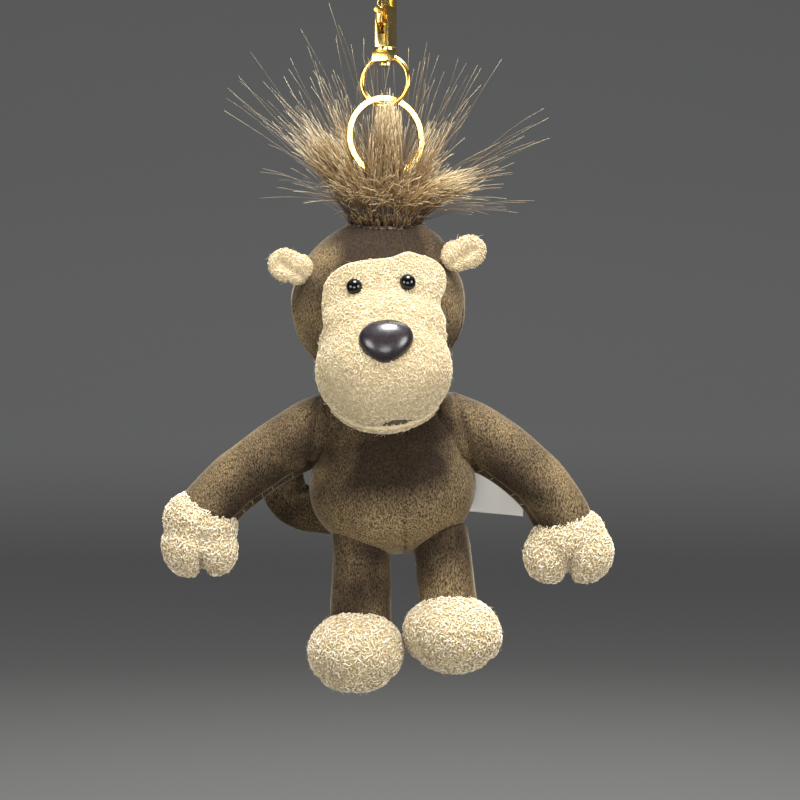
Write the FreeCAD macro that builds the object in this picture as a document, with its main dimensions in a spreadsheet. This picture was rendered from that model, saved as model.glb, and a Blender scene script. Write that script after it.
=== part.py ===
"""Plush monkey charm: a small stuffed monkey that hangs from a split key ring and a swivel snap clasp.

Frame: millimetres, +Z up, the toy faces -Y, and +X is the toy's own left side.
The origin is the centre of the clasp's inner bow, where a strap or a bag's ring carries the charm.
"""
import FreeCAD, Part
import Sketcher
import os
import re
from FreeCAD import Placement, Rotation, Vector

X_AXIS, Y_AXIS, Z_AXIS = Vector(1, 0, 0), Vector(0, 1, 0), Vector(0, 0, 1)

SIZES = {
    # snap clasp, whose plane is turned away from the toy's front
    "hook_turn": 72, "hook_thick": 4.0, "hook_bow_inner": 3.1, "hook_bow_wall": 2.1,
    "hook_spine_len": 8.5, "hook_body_bottom": 21.0, "hook_body_half": 3.3, "hook_nose_len": 2.0,
    "flange_rad": 3.4, "flange_tall": 0.9,
    "gate_thick": 1.7, "gate_deep": 1.5, "gate_pivot_down": 13.0, "gate_clear": 0.15,
    "gate_pivot_side": 1.0, "gate_root_rad": 1.5, "gate_heel_drop": 1.0, "gate_heel_tall": 2.2,
    "gate_slot_drop": 4.2, "gate_slot_past": 1.6, "gate_sweep_rad": 11.8, "gate_sweep_past": 0.2,
    "stud_rad": 1.0, "stud_long": 2.4, "stud_down": 10.4, "stud_sunk": 0.2, "pin_rad": 0.6, "pin_clear": 0.05,
    "spring_wire": 0.3, "spring_rad": 0.6, "spring_pitch": 0.4, "spring_turns": 4, "spring_drop": 1.9,
    "cut_past": 1.0,
    # swivel rivet and the ring that turns on it
    "rivet_rad": 1.05, "rivet_head_rad": 2.0, "rivet_head_tall": 1.3, "rivet_seat": 1.2,
    "swivel_clear": 0.15,
    "eye_block_wide": 6.6, "eye_block_deep": 4.4, "eye_block_tall": 3.0,
    "eye_ring_rad": 7.35, "eye_ring_wire": 0.85, "eye_ring_turn": -20,
    # split key ring, hung in the swivel ring
    "key_ring_rad": 11.6, "key_ring_radial": 1.5, "key_ring_strip": 0.78, "key_ring_pitch": 0.82,
    "key_ring_turns": 2, "key_ring_turn": 22, "ring_overlap": 2.2,
    # ribbon loop
    "ribbon_wide": 6.0, "ribbon_thick": 0.7, "ribbon_bend": 1.9, "ribbon_bottom": 69.9,
    # soft goods
    "plush_wall": 1.0, "seam_gap": 0.1,
    "toy_back": 1.1, "toy_side": -0.35,
    # head
    "head_side": -1.6, "head_deep": 2.0, "head_down": 98.0,
    "head_half_wide": 26.2, "head_half_deep": 22.0, "head_half_tall": 25.4,
    "muzzle_deep": -17.0, "muzzle_down": 118.0,
    "muzzle_half_wide": 20.2, "muzzle_half_deep": 17.0, "muzzle_half_tall": 17.6,
    "face_half_wide": 22.5, "face_half_deep": 17.0, "face_half_tall": 26.0,
    "face_deep": -22.0, "face_down": 109.0, "mouth_down": 131.0,
    "eye_rad": 2.4, "eye_deep": 19.2, "eye_left_side": 6.9, "eye_left_down": 91.2,
    "eye_right_side": -9.0, "eye_right_down": 92.7, "shank_rad": 0.8, "shank_long": 5.4,
    "washer_rad": 2.9, "washer_thick": 0.8, "washer_in": 0.6, "pocket_past": 0.2, "part_clear": 0.05,
    "nose_side": 0.6, "nose_down": 109.4, "nose_deep": 29.4, "nose_tilt": -25,
    "nose_half_wide": 8.1, "nose_top": 5.6, "nose_bottom": 6.9, "nose_thick": 6.0, "nose_round": 2.6,
    "nose_shank_rad": 1.4, "nose_shank_long": 6.6, "nose_shank_end": 6.5,
    "nose_bore_long": 9.0, "nose_bore_end": 8.0,
    "nose_washer_rad": 5.0, "nose_washer_thick": 1.2, "nose_washer_back": 5.6,
    "nose_pocket_long": 8.0, "nose_pocket_back": 7.0,
    "ear_rad": 6.3, "ear_layer": 1.1, "ear_neck_wide": 7.0, "ear_deep": -8.1,
    "ear_left_side": 26.6, "ear_left_down": 83.0, "ear_right_side": -31.2, "ear_right_down": 87.0,
    "ear_reach": 5.8,
    # hair
    "hair_patch_rad": 13.0, "hair_patch_thick": 0.8, "hair_patch_reach": 5.0, "hair_root_wide": 24.0, "hair_tip_wide": 66.0,
    "hair_root_down": 71.4, "hair_tip_down": 40.0, "hair_thick": 3.0, "hair_front": 7.2, "hair_rear": 5.8,
    # torso
    "belly_side": 2.4, "belly_deep": 2.0, "belly_down": 154.6,
    "belly_half_wide": 25.2, "belly_half_deep": 18.5, "belly_half_tall": 18.4,
    "chest_side": 1.5, "chest_deep": 5.5, "chest_down": 141.0,
    "chest_half_wide": 16.6, "chest_half_deep": 12.0, "chest_half_tall": 16.8,
    "belly_seam": 6.6, "flank_seam": 3.0,
    "label_out": 43.0, "label_in": 22.6, "label_thick": 0.5, "label_tall": 12.9,
    "label_deep": 14.0, "label_down": 154.0,
    # arms, each built along -Z from its shoulder and then turned outwards
    "arm_rad": 7.3, "arm_wrist_rad": 8.2, "arm_long": 33.0, "arm_deep": 3.0,
    "arm_left_side": 29.3, "arm_left_down": 137.6, "arm_left_turn": -46,
    "arm_right_side": -26.4, "arm_right_down": 139.6, "arm_right_turn": 57,
    "hand_half_wide": 10.4, "hand_half_deep": 9.2, "hand_half_tall": 11.5,
    "hand_drop": 9.0, "hand_shift": 2.6,
    "thumb_half_wide": 6.0, "thumb_half_tall": 8.0, "thumb_shift": 10.5, "thumb_drop": 5.6,
    # legs, each built along -Z from its hip
    "leg_rad": 8.2, "hip_deep": 0.0,
    "leg_left_side": 18.9, "leg_left_down": 178.4, "leg_left_long": 9.6,
    "leg_right_side": -8.6, "leg_right_down": 180.6, "leg_right_long": 13.0,
    "foot_half_wide": 13.4, "foot_half_deep": 15.0, "foot_half_tall": 12.0, "foot_forward": 5.0,
    "foot_drop": 9.4, "sole_drop": 8.0,
    # tail, an arc that curls up behind the right arm
    "tail_rad": 4.6, "tail_curl": 9.0, "tail_side": -22.5, "tail_down": 155.5, "tail_deep": 23.4,
    "tail_start": -35, "tail_sweep": 215,
}

doc = FreeCAD.newDocument("plush_monkey_charm")
dims = doc.addObject("Spreadsheet::Sheet", "dims")
for row, (alias, value) in enumerate(SIZES.items(), start=1):
    dims.set("A%d" % row, alias)
    dims.set("B%d" % row, str(value))
    dims.setAlias("B%d" % row, alias)
doc.recompute()

pieces = []


def formula(text):
    """Writes the sheet's name in front of every alias in a formula."""
    return re.sub(r"[a-z]\w*", lambda word: "dims." + word[0] if word[0] in SIZES else word[0], text)


def bind(thing, **formulas):
    """Ties properties to formulas over the sheet; a double underscore stands for a dot."""
    for name, text in formulas.items():
        thing.setExpression(name.replace("__", "."), formula(text))


def place(thing, x="0", y="0", z="0", axis=Z_AXIS, turn=None):
    """Sets a thing's place, and its turn about an axis, from formulas over the sheet."""
    if turn is not None:
        thing.Placement = Placement(Vector(), Rotation(axis, 10))
        bind(thing, Placement__Rotation__Angle=turn)
    bind(thing, Placement__Base__x=x, Placement__Base__y=y, Placement__Base__z=z)
    return thing


def primitive(kind, name, where=None, **formulas):
    """A Part primitive with its sizes and place tied to the sheet."""
    thing = doc.addObject("Part::" + kind, name)
    bind(thing, **formulas)
    place(thing, **(where or {}))
    return thing


def ellipsoid(name, wide, deep, tall, **where):
    """An ellipsoid from its three half sizes."""
    return primitive("Ellipsoid", name, where, Radius1=tall, Radius2=wide, Radius3=deep)


def fuse(name, *things):
    joined = doc.addObject("Part::MultiFuse", name)
    joined.Shapes = list(things)
    return joined


def cut(name, base, *tools):
    """The base less every tool."""
    for index, tool in enumerate(tools):
        less = doc.addObject("Part::Cut", name if index == len(tools) - 1 else "%s_less%d" % (name, index))
        less.Base, less.Tool = base, tool
        base = less
    return base


def common(name, one, other):
    shared = doc.addObject("Part::Common", name)
    shared.Base, shared.Tool = one, other
    return shared


def piece(thing, label):
    """Marks a thing as a finished piece, under the name that its file gets."""
    thing.Label = label
    pieces.append(thing)
    return thing


def slab(name, x, y, z, wide, deep, tall):
    """A box from its lowest corner and its sizes."""
    return primitive("Box", name, dict(x=x, y=y, z=z), Length=wide, Width=deep, Height=tall)


def half_space(name, side, at="0", reach="400"):
    """A large box on one side of a plane; side is one of +x, -x, +y, -y, +z and -z."""
    low = {"x": "-200", "y": "-200", "z": "-200 - 100"}
    low[side[1]] = at if side[0] == "+" else "%s - %s" % (at, reach)
    return slab(name, low["x"], low["y"], low["z"], reach, reach, reach)


def flat_sketch(body, name, plane):
    sketch = body.newObject("Sketcher::SketchObject", name)
    origin = [item for item in body.Origin.OriginFeatures if item.Role == plane][0]
    sketch.AttachmentSupport = [(origin, "")]
    sketch.MapMode = "FlatFace"
    return sketch


def outline(sketch, points):
    """A closed outline of straight edges, as geometry of a sketch."""
    ring = [Vector(u, v, 0) for u, v in points]
    for start, end in zip(ring, ring[1:] + ring[:1]):
        sketch.addGeometry(Part.LineSegment(start, end))


def wound_strip(name, rad, radial, width, pitch, turns):
    """A strip of rectangular section wound as a close helix about the body's Z axis."""
    body = doc.addObject("PartDesign::Body", name)
    sketch = flat_sketch(body, name + "_strip", "XZ_Plane")
    middle, half_radial, half_width = SIZES[rad], SIZES[radial] / 2, SIZES[width] / 2
    corners = [(-1, -1), (1, -1), (1, 1), (-1, 1)]
    outline(sketch, [(middle + u * half_radial, v * half_width) for u, v in corners])
    for index in range(4):
        sketch.addConstraint(Sketcher.Constraint("Coincident", index, 2, (index + 1) % 4, 1))
    for index, kind in enumerate(("Horizontal", "Vertical", "Horizontal", "Vertical")):
        sketch.addConstraint(Sketcher.Constraint(kind, index))
    for label, constraint, text in (
            ("reach", Sketcher.Constraint("DistanceX", -1, 1, 0, 1, middle - half_radial),
             "%s - %s / 2" % (rad, radial)),
            ("radial", Sketcher.Constraint("DistanceX", 0, 1, 0, 2, 2 * half_radial), radial),
            ("drop", Sketcher.Constraint("DistanceY", 0, 1, -1, 1, half_width), width + " / 2"),
            ("width", Sketcher.Constraint("DistanceY", 1, 1, 1, 2, 2 * half_width), width)):
        sketch.addConstraint(constraint)
        sketch.renameConstraint(sketch.ConstraintCount - 1, label)
        sketch.setExpression("Constraints." + label, formula(text))
    doc.recompute()
    coil = body.newObject("PartDesign::AdditiveHelix", name + "_coil")
    coil.Profile = sketch
    coil.ReferenceAxis = (sketch, ["V_Axis"])
    coil.Mode = 0
    bind(coil, Pitch=pitch, Height="%s * %s" % (pitch, turns))
    doc.recompute()
    return body


# ---- snap clasp: cast body with bow, spine and nose, flange below; hole plane is local XZ ----
bow_outer = "hook_bow_inner + hook_bow_wall"
bow_disc = primitive("Cylinder", "bow_disc", dict(y="hook_thick / 2", axis=X_AXIS, turn="90"),
                     Radius=bow_outer, Height="hook_thick")
hook_spine = slab("hook_spine", "hook_bow_inner", "-hook_thick / 2", "-hook_body_bottom", "hook_bow_wall",
                  "hook_thick", "hook_body_bottom")
hook_nose = slab("hook_nose", "-(%s)" % bow_outer, "-hook_thick / 2", "-hook_nose_len", "hook_bow_wall",
                 "hook_thick", "hook_nose_len")
hook_barrel = slab("hook_barrel", "-hook_body_half", "-hook_thick / 2", "-hook_body_bottom",
                   "hook_body_half + %s" % bow_outer, "hook_thick", "hook_body_bottom - hook_spine_len")
hook_flange = primitive("Cylinder", "hook_flange", dict(z="-hook_body_bottom - flange_tall"),
                        Radius="flange_rad", Height="flange_tall")
bow_hole = primitive("Cylinder", "bow_hole", dict(y="hook_thick", axis=X_AXIS, turn="90"),
                     Radius="hook_bow_inner", Height="2 * hook_thick")
bow_cutoff = slab("bow_cutoff", "-hook_bow_inner", "-hook_thick", "-hook_spine_len",
                  "2 * hook_bow_inner", "2 * hook_thick", "hook_spine_len")
mouth = slab("mouth", "-2 * (%s)" % bow_outer, "-hook_thick", "-hook_spine_len", "2 * (%s)" % bow_outer,
             "2 * hook_thick", "hook_spine_len - hook_nose_len")
gate_slot = slab("gate_slot", "-2 * hook_body_half", "-gate_deep / 2 - gate_clear",
                 "-gate_pivot_down - gate_slot_drop", "2 * hook_body_half + gate_slot_past",
                 "gate_deep + 2 * gate_clear", "gate_pivot_down + gate_slot_drop - hook_spine_len + cut_past")


def about_pin(name, front, radius, deep):
    """A disc about the gate's pin, in the clasp's own plane."""
    at_pin = dict(x="-gate_pivot_side", y=front, z="-gate_pivot_down", axis=X_AXIS, turn="90")
    return primitive("Cylinder", name, at_pin, Radius=radius, Height=deep)


pin_hole = about_pin("pin_hole", "hook_thick", "pin_rad", "2 * hook_thick")
rivet_hole = primitive("Cylinder", "rivet_hole", dict(z="-hook_body_bottom - 2 * flange_tall"),
                       Radius="rivet_rad", Height="2 * flange_tall + rivet_seat")
hook_solid = fuse("hook_solid", bow_disc, hook_spine, hook_nose, hook_barrel, hook_flange)
# the gate's tip swings past the nose, so both are rounded about the gate's pin
gate_sweep = common("gate_sweep", about_pin("gate_sweep_disc", "hook_thick", "gate_sweep_rad", "2 * hook_thick"),
                    slab("gate_sweep_window", "-2 * (%s)" % bow_outer, "-hook_thick", "-2 * hook_nose_len",
                         "2 * (%s) - hook_bow_inner + gate_sweep_past" % bow_outer, "2 * hook_thick",
                         "2 * hook_nose_len"))
hook_body = cut("hook_body", hook_solid, bow_hole, bow_cutoff, mouth, gate_sweep, gate_slot, pin_hole, rivet_hole)
piece(place(hook_body, axis=Z_AXIS, turn="hook_turn"), "snap_hook_body")

# gate: a sprung lever from the pin up to the nose, with a thumb stud outside
gate_bar = common("gate_bar", slab("gate_strip", "-(%s)" % bow_outer, "-gate_deep / 2", "-gate_pivot_down",
                                   "gate_thick", "gate_deep", "gate_sweep_rad"),
                  about_pin("gate_tip_disc", "gate_deep", "gate_sweep_rad - gate_clear", "2 * gate_deep"))
gate_root = about_pin("gate_root", "gate_deep / 2", "gate_root_rad", "gate_deep")
gate_heel = slab("gate_heel", "-(%s)" % bow_outer, "-gate_deep / 2", "-gate_pivot_down - gate_heel_drop",
                 "%s - gate_pivot_side" % bow_outer, "gate_deep", "gate_heel_tall")
gate_stud = primitive("Cylinder", "gate_stud", dict(x="-(%s) + stud_sunk" % bow_outer, z="-stud_down", axis=Y_AXIS,
                                                    turn="-90"),
                      Radius="stud_rad", Height="stud_long")
gate_hole = about_pin("gate_hole", "gate_deep", "pin_rad + pin_clear", "2 * gate_deep")
gate = cut("gate", fuse("gate_solid", gate_bar, gate_root, gate_heel, gate_stud), gate_hole)
piece(place(gate, axis=Z_AXIS, turn="hook_turn"), "snap_gate")

gate_pin = primitive("Cylinder", "gate_pin_rod", None, Radius="pin_rad", Height="hook_thick")
pin_turn = Rotation(Z_AXIS, SIZES["hook_turn"]).multiply(Rotation(X_AXIS, 90))
gate_pin.Placement = Placement(Vector(), pin_turn)
bind(gate_pin, Placement__Base__x="-gate_pivot_side * cos(hook_turn * 1deg) - hook_thick / 2 * sin(hook_turn * 1deg)",
     Placement__Base__y="-gate_pivot_side * sin(hook_turn * 1deg) + hook_thick / 2 * cos(hook_turn * 1deg)",
     Placement__Base__z="-gate_pivot_down")
piece(gate_pin, "gate_pin")

# gate spring: a short coil that stands in the slot below the gate's root
spring = wound_strip("gate_coil", "spring_rad", "spring_wire", "spring_wire", "spring_pitch", "spring_turns")
piece(place(spring, z="-gate_pivot_down - spring_drop - spring_pitch * spring_turns"), "gate_spring")

# swivel rivet: shank from inside the flange, headed below the eye block
block_top = "-hook_body_bottom - flange_tall - swivel_clear"
block_bottom = "%s - eye_block_tall" % block_top
shank = primitive("Cylinder", "rivet_shank", dict(z="%s - swivel_clear" % block_bottom), Radius="rivet_rad",
                  Height="eye_block_tall + 2 * swivel_clear + flange_tall + rivet_seat")
rivet_head = primitive("Cylinder", "rivet_head", dict(z="%s - swivel_clear - rivet_head_tall" % block_bottom),
                       Radius="rivet_head_rad", Height="rivet_head_tall")
piece(fuse("rivet", shank, rivet_head), "swivel_rivet")

# swivel eye: a block on the rivet with its ring cast in one piece with it
ring_centre = "%s + eye_block_tall / 2 - eye_ring_rad" % block_bottom
eye_ring = primitive("Torus", "eye_ring", dict(z=ring_centre, axis=X_AXIS, turn="90"),
                     Radius1="eye_ring_rad", Radius2="eye_ring_wire")
eye_block = slab("eye_block", "-eye_block_wide / 2", "-eye_block_deep / 2", block_bottom, "eye_block_wide",
                 "eye_block_deep", "eye_block_tall")
eye_bore = primitive("Cylinder", "eye_bore", dict(z="%s - cut_past" % block_bottom),
                     Radius="rivet_rad + pin_clear", Height="eye_block_tall + 2 * cut_past")
head_room = primitive("Cylinder", "head_room", dict(z="%s - 5 * cut_past" % block_bottom),
                      Radius="rivet_head_rad + swivel_clear", Height="5 * cut_past")
swivel_eye = cut("swivel_eye", fuse("eye_solid", eye_ring, eye_block), eye_bore, head_room)
piece(place(swivel_eye, axis=Z_AXIS, turn="eye_ring_turn"), "swivel_eye_ring")

# ---- split key ring: flat strip wound two turns, as a helix about the ring's axis ----
ring_body = wound_strip("key_ring", "key_ring_rad", "key_ring_radial", "key_ring_strip", "key_ring_pitch",
                        "key_ring_turns")
ring_drop = "-(%s) + eye_ring_rad + key_ring_rad - ring_overlap" % ring_centre
stand = Rotation(Z_AXIS, SIZES["key_ring_turn"]).multiply(Rotation(X_AXIS, 90))
ring_body.Placement = Placement(Vector(), stand)
half_stack = "key_ring_pitch * key_ring_turns / 2"
bind(ring_body, Placement__Base__x="-(%s) * sin(key_ring_turn * 1deg)" % half_stack,
     Placement__Base__y="%s * cos(key_ring_turn * 1deg)" % half_stack,
     Placement__Base__z="-(%s)" % ring_drop)
piece(ring_body, "split_key_ring")

# ---- ribbon loop: passes over the key ring's lowest wire, its two legs run down to the crown ----
wire_down = "(%s + key_ring_rad)" % ring_drop
arch_outer = primitive("Cylinder", "arch_outer", dict(x="-ribbon_wide / 2", axis=Y_AXIS, turn="90"),
                       Radius="ribbon_bend + ribbon_thick", Height="ribbon_wide")
arch_inner = primitive("Cylinder", "arch_inner", dict(x="-ribbon_wide", axis=Y_AXIS, turn="90"),
                       Radius="ribbon_bend", Height="2 * ribbon_wide")
arch_lower = slab("arch_lower", "-ribbon_wide", "-ribbon_wide", "-2 * ribbon_wide", "2 * ribbon_wide",
                  "2 * ribbon_wide", "2 * ribbon_wide")
leg_height = "ribbon_bottom - %s" % wire_down
front_leg = slab("front_leg", "-ribbon_wide / 2", "-ribbon_bend - ribbon_thick", "-(%s)" % leg_height,
                 "ribbon_wide", "ribbon_thick", leg_height)
rear_leg = slab("rear_leg", "-ribbon_wide / 2", "ribbon_bend", "-(%s)" % leg_height, "ribbon_wide",
                "ribbon_thick", leg_height)
ribbon = fuse("ribbon", cut("arch", arch_outer, arch_inner, arch_lower), front_leg, rear_leg)
piece(place(ribbon, z="-(%s)" % wire_down, axis=Z_AXIS, turn="key_ring_turn"), "hang_loop")

# ---- head: skull and muzzle as one shell, cut along its seams into panels ----
skull_at = dict(x="head_side + toy_side", y="head_deep + toy_back", z="-head_down")
muzzle_at = dict(x="toy_side", y="muzzle_deep + toy_back", z="-muzzle_down")


def head_form(name, wall, turn):
    """Skull and muzzle joined; the turn keeps the surfaces' own seams out of the side being cut."""
    skull = ellipsoid(name + "_skull", "head_half_wide - " + wall, "head_half_deep - " + wall,
                      "head_half_tall - " + wall, turn=turn, **skull_at)
    muzzle = ellipsoid(name + "_muzzle", "muzzle_half_wide - " + wall, "muzzle_half_deep - " + wall,
                       "muzzle_half_tall - " + wall, turn=turn, **muzzle_at)
    return fuse(name, skull, muzzle)


def face_form(name, turn):
    return ellipsoid(name, "face_half_wide", "face_half_deep", "face_half_tall", turn=turn,
                     x="toy_side", y="face_deep + toy_back", z="-face_down")


for side, off, turn in (("left", "-x", "180"), ("right", "+x", "0")):
    whole = cut("brown_" + side, head_form("head_outer_" + side, "0", turn), face_form("face_" + side, turn))
    half = cut("head_half_" + side, whole, half_space("head_off_" + side, off, "head_side + toy_side"))
    cover = cut("head_" + side, half, head_form("head_inner_" + side, "plush_wall", turn))
    piece(cover, "head_cover_" + side)

head_inner = head_form("head_inner", "plush_wall", "0")
head_shell = cut("head_shell", head_form("head_outer", "0", "0"), head_inner)
face_zone = face_form("face_zone", "0")

# safety eyes and nose: each has a shank through the panel and a washer inside
eye_list, stuffing_pockets, face_holes = [], [], []
for side in ("left", "right"):
    spot = dict(x="eye_%s_side + toy_side" % side, z="-eye_%s_down" % side)
    ball = ellipsoid("eye_ball_" + side, "eye_rad", "eye_rad", "eye_rad", y="-eye_deep + toy_back", **spot)
    rod = primitive("Cylinder", "eye_rod_" + side,
                    dict(y="-eye_deep + shank_long + toy_back", axis=X_AXIS, turn="90", **spot),
                    Radius="shank_rad", Height="shank_long")
    piece(fuse("eye_" + side, ball, rod), "eye_" + side)
    seat = ellipsoid("eye_seat_" + side, "eye_rad + part_clear", "eye_rad + part_clear",
                     "eye_rad + part_clear", y="-eye_deep + toy_back", **spot)
    bore = primitive("Cylinder", "eye_bore_" + side,
                     dict(y="-eye_deep + shank_long + cut_past + toy_back", axis=X_AXIS, turn="90", **spot),
                     Radius="shank_rad + part_clear", Height="shank_long + cut_past")
    washer_back = "-eye_deep + shank_long - washer_in + toy_back"
    disc = primitive("Cylinder", "eye_disc_" + side, dict(y=washer_back, axis=X_AXIS, turn="90", **spot),
                     Radius="washer_rad", Height="washer_thick")
    piece(cut("washer_" + side, disc, bore), "eye_washer_" + side)
    pocket = primitive("Cylinder", "eye_pocket_" + side,
                       dict(y="-eye_deep + shank_long + pocket_past + toy_back", axis=X_AXIS, turn="90", **spot),
                       Radius="washer_rad + part_clear", Height="shank_long + pocket_past")
    face_holes += [seat, bore]
    stuffing_pockets.append(pocket)

nose_at = dict(x="nose_side + toy_side", y="-nose_deep + toy_back", z="-nose_down", axis=X_AXIS,
               turn="nose_tilt")


def nose_outline(name, grow):
    """The nose's rounded triangle, wide at the top, padded forwards and grown by a clearance."""
    body = doc.addObject("PartDesign::Body", name + "_form")
    sketch = flat_sketch(body, name + "_sketch", "XZ_Plane")
    half, top, low = (SIZES[key] + grow for key in ("nose_half_wide", "nose_top", "nose_bottom"))
    corners = [(-0.62 * half, top), (0.62 * half, top), (half, 0.45 * top), (0.9 * half, -0.12 * low),
               (0.3 * half, -low), (-0.3 * half, -low), (-0.9 * half, -0.12 * low), (-half, 0.45 * top)]
    outline(sketch, corners)
    pad = body.newObject("PartDesign::Pad", name + "_pad")
    pad.Profile = sketch
    bind(pad, Length="nose_thick + %g" % (10 * grow))
    doc.recompute()
    return body, pad


nose_form, nose_pad = nose_outline("nose", 0.0)
front_edges = ["Edge%d" % (index + 1) for index, edge in enumerate(nose_pad.Shape.Edges)
               if all(abs(end.Point.y + SIZES["nose_thick"]) < 1e-6 for end in edge.Vertexes)]
rounding = nose_form.newObject("PartDesign::Fillet", "nose_rounding")
rounding.Base = (nose_pad, front_edges)
bind(rounding, Radius="nose_round")
doc.recompute()
nose_shank = primitive("Cylinder", "nose_shank", dict(y="nose_shank_end", axis=X_AXIS, turn="90"),
                       Radius="nose_shank_rad", Height="nose_shank_long")
piece(place(fuse("nose_joined", nose_form, nose_shank), **nose_at), "nose")
nose_seat_form, nose_seat_pad = nose_outline("nose_seat", SIZES["part_clear"])
nose_bore = primitive("Cylinder", "nose_bore", dict(y="nose_bore_end", axis=X_AXIS, turn="90"),
                      Radius="nose_shank_rad + part_clear", Height="nose_bore_long")
nose_seat = place(fuse("nose_seat_joined", nose_seat_form, nose_bore), **nose_at)
nose_disc = primitive("Cylinder", "nose_disc", dict(y="nose_washer_back", axis=X_AXIS, turn="90"),
                      Radius="nose_washer_rad", Height="nose_washer_thick")
piece(place(cut("nose_disc_bored", nose_disc, nose_bore), **nose_at), "nose_washer")
nose_pocket = primitive("Cylinder", "nose_pocket_rod", dict(y="nose_pocket_back", axis=X_AXIS, turn="90"),
                        Radius="nose_washer_rad + part_clear", Height="nose_pocket_long")
nose_pocket_placed = place(fuse("nose_pocket", nose_pocket, nose_bore), **nose_at)

cream_shell = cut("cream_shell", common("face_shell", head_shell, face_zone), nose_seat, *face_holes)
piece(cut("face", cream_shell, half_space("face_off", "-z", "-mouth_down")), "face_panel")
piece(cut("chin", cream_shell, half_space("chin_off", "+z", "-mouth_down")), "chin_panel")
piece(cut("head_fill", head_inner, nose_pocket_placed, nose_seat, *stuffing_pockets), "head_stuffing")

# ears: two layers face to face, a round with a short neck towards the head
for side, inwards in (("left", "-1"), ("right", "1")):
    for layer, back in (("front", "0"), ("back", "ear_layer")):
        name = "ear_%s_%s" % (side, layer)
        spot = dict(x="ear_%s_side + toy_side" % side, y="ear_deep + toy_back + ear_layer + %s" % back,
                    z="-ear_%s_down" % side)
        disc = primitive("Cylinder", name + "_disc", dict(axis=X_AXIS, turn="90", **spot), Radius="ear_rad",
                         Height="ear_layer")
        neck_x = "ear_%s_side + toy_side + (%s) * ear_reach / 2 - ear_reach / 2" % (side, inwards)
        neck = slab(name + "_neck", neck_x, "ear_deep + toy_back + %s" % back,
                    "-ear_%s_down - ear_neck_wide / 2" % side, "ear_reach", "ear_layer", "ear_neck_wide")
        piece(fuse(name, disc, neck), name)

# ---- hair: a cloth patch on the crown, and the long pile in front of and behind the key ring ----
patch_outer = ellipsoid("patch_outer", "head_half_wide + hair_patch_thick + seam_gap",
                        "head_half_deep + hair_patch_thick + seam_gap",
                        "head_half_tall + hair_patch_thick + seam_gap", **skull_at)
patch_inner = ellipsoid("patch_inner", "head_half_wide + seam_gap", "head_half_deep + seam_gap",
                        "head_half_tall + seam_gap", **skull_at)
patch_zone = primitive("Cylinder", "patch_zone", dict(x="toy_side", y="toy_back", z="-head_down"),
                       Radius="hair_patch_rad", Height="head_half_tall + hair_patch_reach")
piece(common("patch", cut("patch_shell", patch_outer, patch_inner), patch_zone), "hair_backing")
for name, near, lean in (("front", "-hair_front", "-hair_thick"), ("rear", "hair_rear", "0")):
    fan = primitive("Wedge", "hair_" + name, dict(y="(%s) + (%s) + toy_back" % (near, lean), x="toy_side",
                                                  z="-hair_root_down", axis=X_AXIS, turn="90"),
                    Xmin="-hair_root_wide / 2", Xmax="hair_root_wide / 2", Ymin="0",
                    Ymax="hair_root_down - hair_tip_down", Zmin="-hair_thick", Zmax="0",
                    X2min="-hair_tip_wide / 2", X2max="hair_tip_wide / 2", Z2min="-hair_thick", Z2max="0")
    piece(fan, "hair_tuft_" + name)

# ---- torso: belly and chest as one shell, in two front panels and a back panel ----
belly_at = dict(x="belly_side + toy_side", y="belly_deep + toy_back", z="-belly_down")
chest_at = dict(x="chest_side + toy_side", y="chest_deep + toy_back", z="-chest_down")
torso_outer = fuse(
    "torso_outer",
    ellipsoid("belly_outer", "belly_half_wide", "belly_half_deep", "belly_half_tall", **belly_at),
    ellipsoid("chest_outer", "chest_half_wide", "chest_half_deep", "chest_half_tall", **chest_at))
torso_inner = fuse(
    "torso_inner",
    ellipsoid("belly_inner", "belly_half_wide - plush_wall", "belly_half_deep - plush_wall",
              "belly_half_tall - plush_wall", **belly_at),
    ellipsoid("chest_inner", "chest_half_wide - plush_wall", "chest_half_deep - plush_wall",
              "chest_half_tall - plush_wall", **chest_at))
torso_shell = cut("torso_shell", torso_outer, torso_inner)
torso_front = cut("torso_front", torso_shell, half_space("torso_rear_off", "+y", "flank_seam + toy_back"))
piece(cut("torso_left", torso_front, half_space("torso_left_off", "-x", "belly_seam + toy_side")),
      "torso_front_left")
piece(cut("torso_right", torso_front, half_space("torso_right_off", "+x", "belly_seam + toy_side")),
      "torso_front_right")
piece(cut("torso_rear", torso_shell, half_space("torso_front_off", "-y", "flank_seam + toy_back")),
      "torso_back")
piece(torso_inner, "torso_stuffing")
piece(slab("label", "label_in + toy_side", "label_deep + toy_back", "-label_down - label_tall / 2",
           "label_out - label_in", "label_thick", "label_tall"), "side_label")

# ---- arms: a rounded sleeve from the shoulder to the wrist seam, and a two-lobed hand ----


def sleeve(name, shoulder, wrist, length):
    """A rounded shoulder and a tapered sleeve that ends flat at the wrist."""
    ball = ellipsoid(name + "_ball", shoulder, shoulder, shoulder)
    tube = primitive("Cone", name + "_tube", dict(z="-(%s)" % length), Radius1=wrist, Radius2=shoulder,
                     Height=length)
    return fuse(name, ball, tube)


def mitten(name, wall, inwards):
    """A palm and a thumb lobe towards the body, each smaller all round by the wall."""
    palm = ellipsoid(name + "_palm", "hand_half_wide - " + wall, "hand_half_deep - " + wall,
                     "hand_half_tall - " + wall, x=inwards + " * hand_shift", z="-arm_long - hand_drop")
    thumb = ellipsoid(name + "_thumb", "thumb_half_wide - " + wall, "thumb_half_wide - " + wall,
                      "thumb_half_tall - " + wall, x=inwards + " * thumb_shift",
                      z="-arm_long - thumb_drop")
    return fuse(name, palm, thumb)


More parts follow.
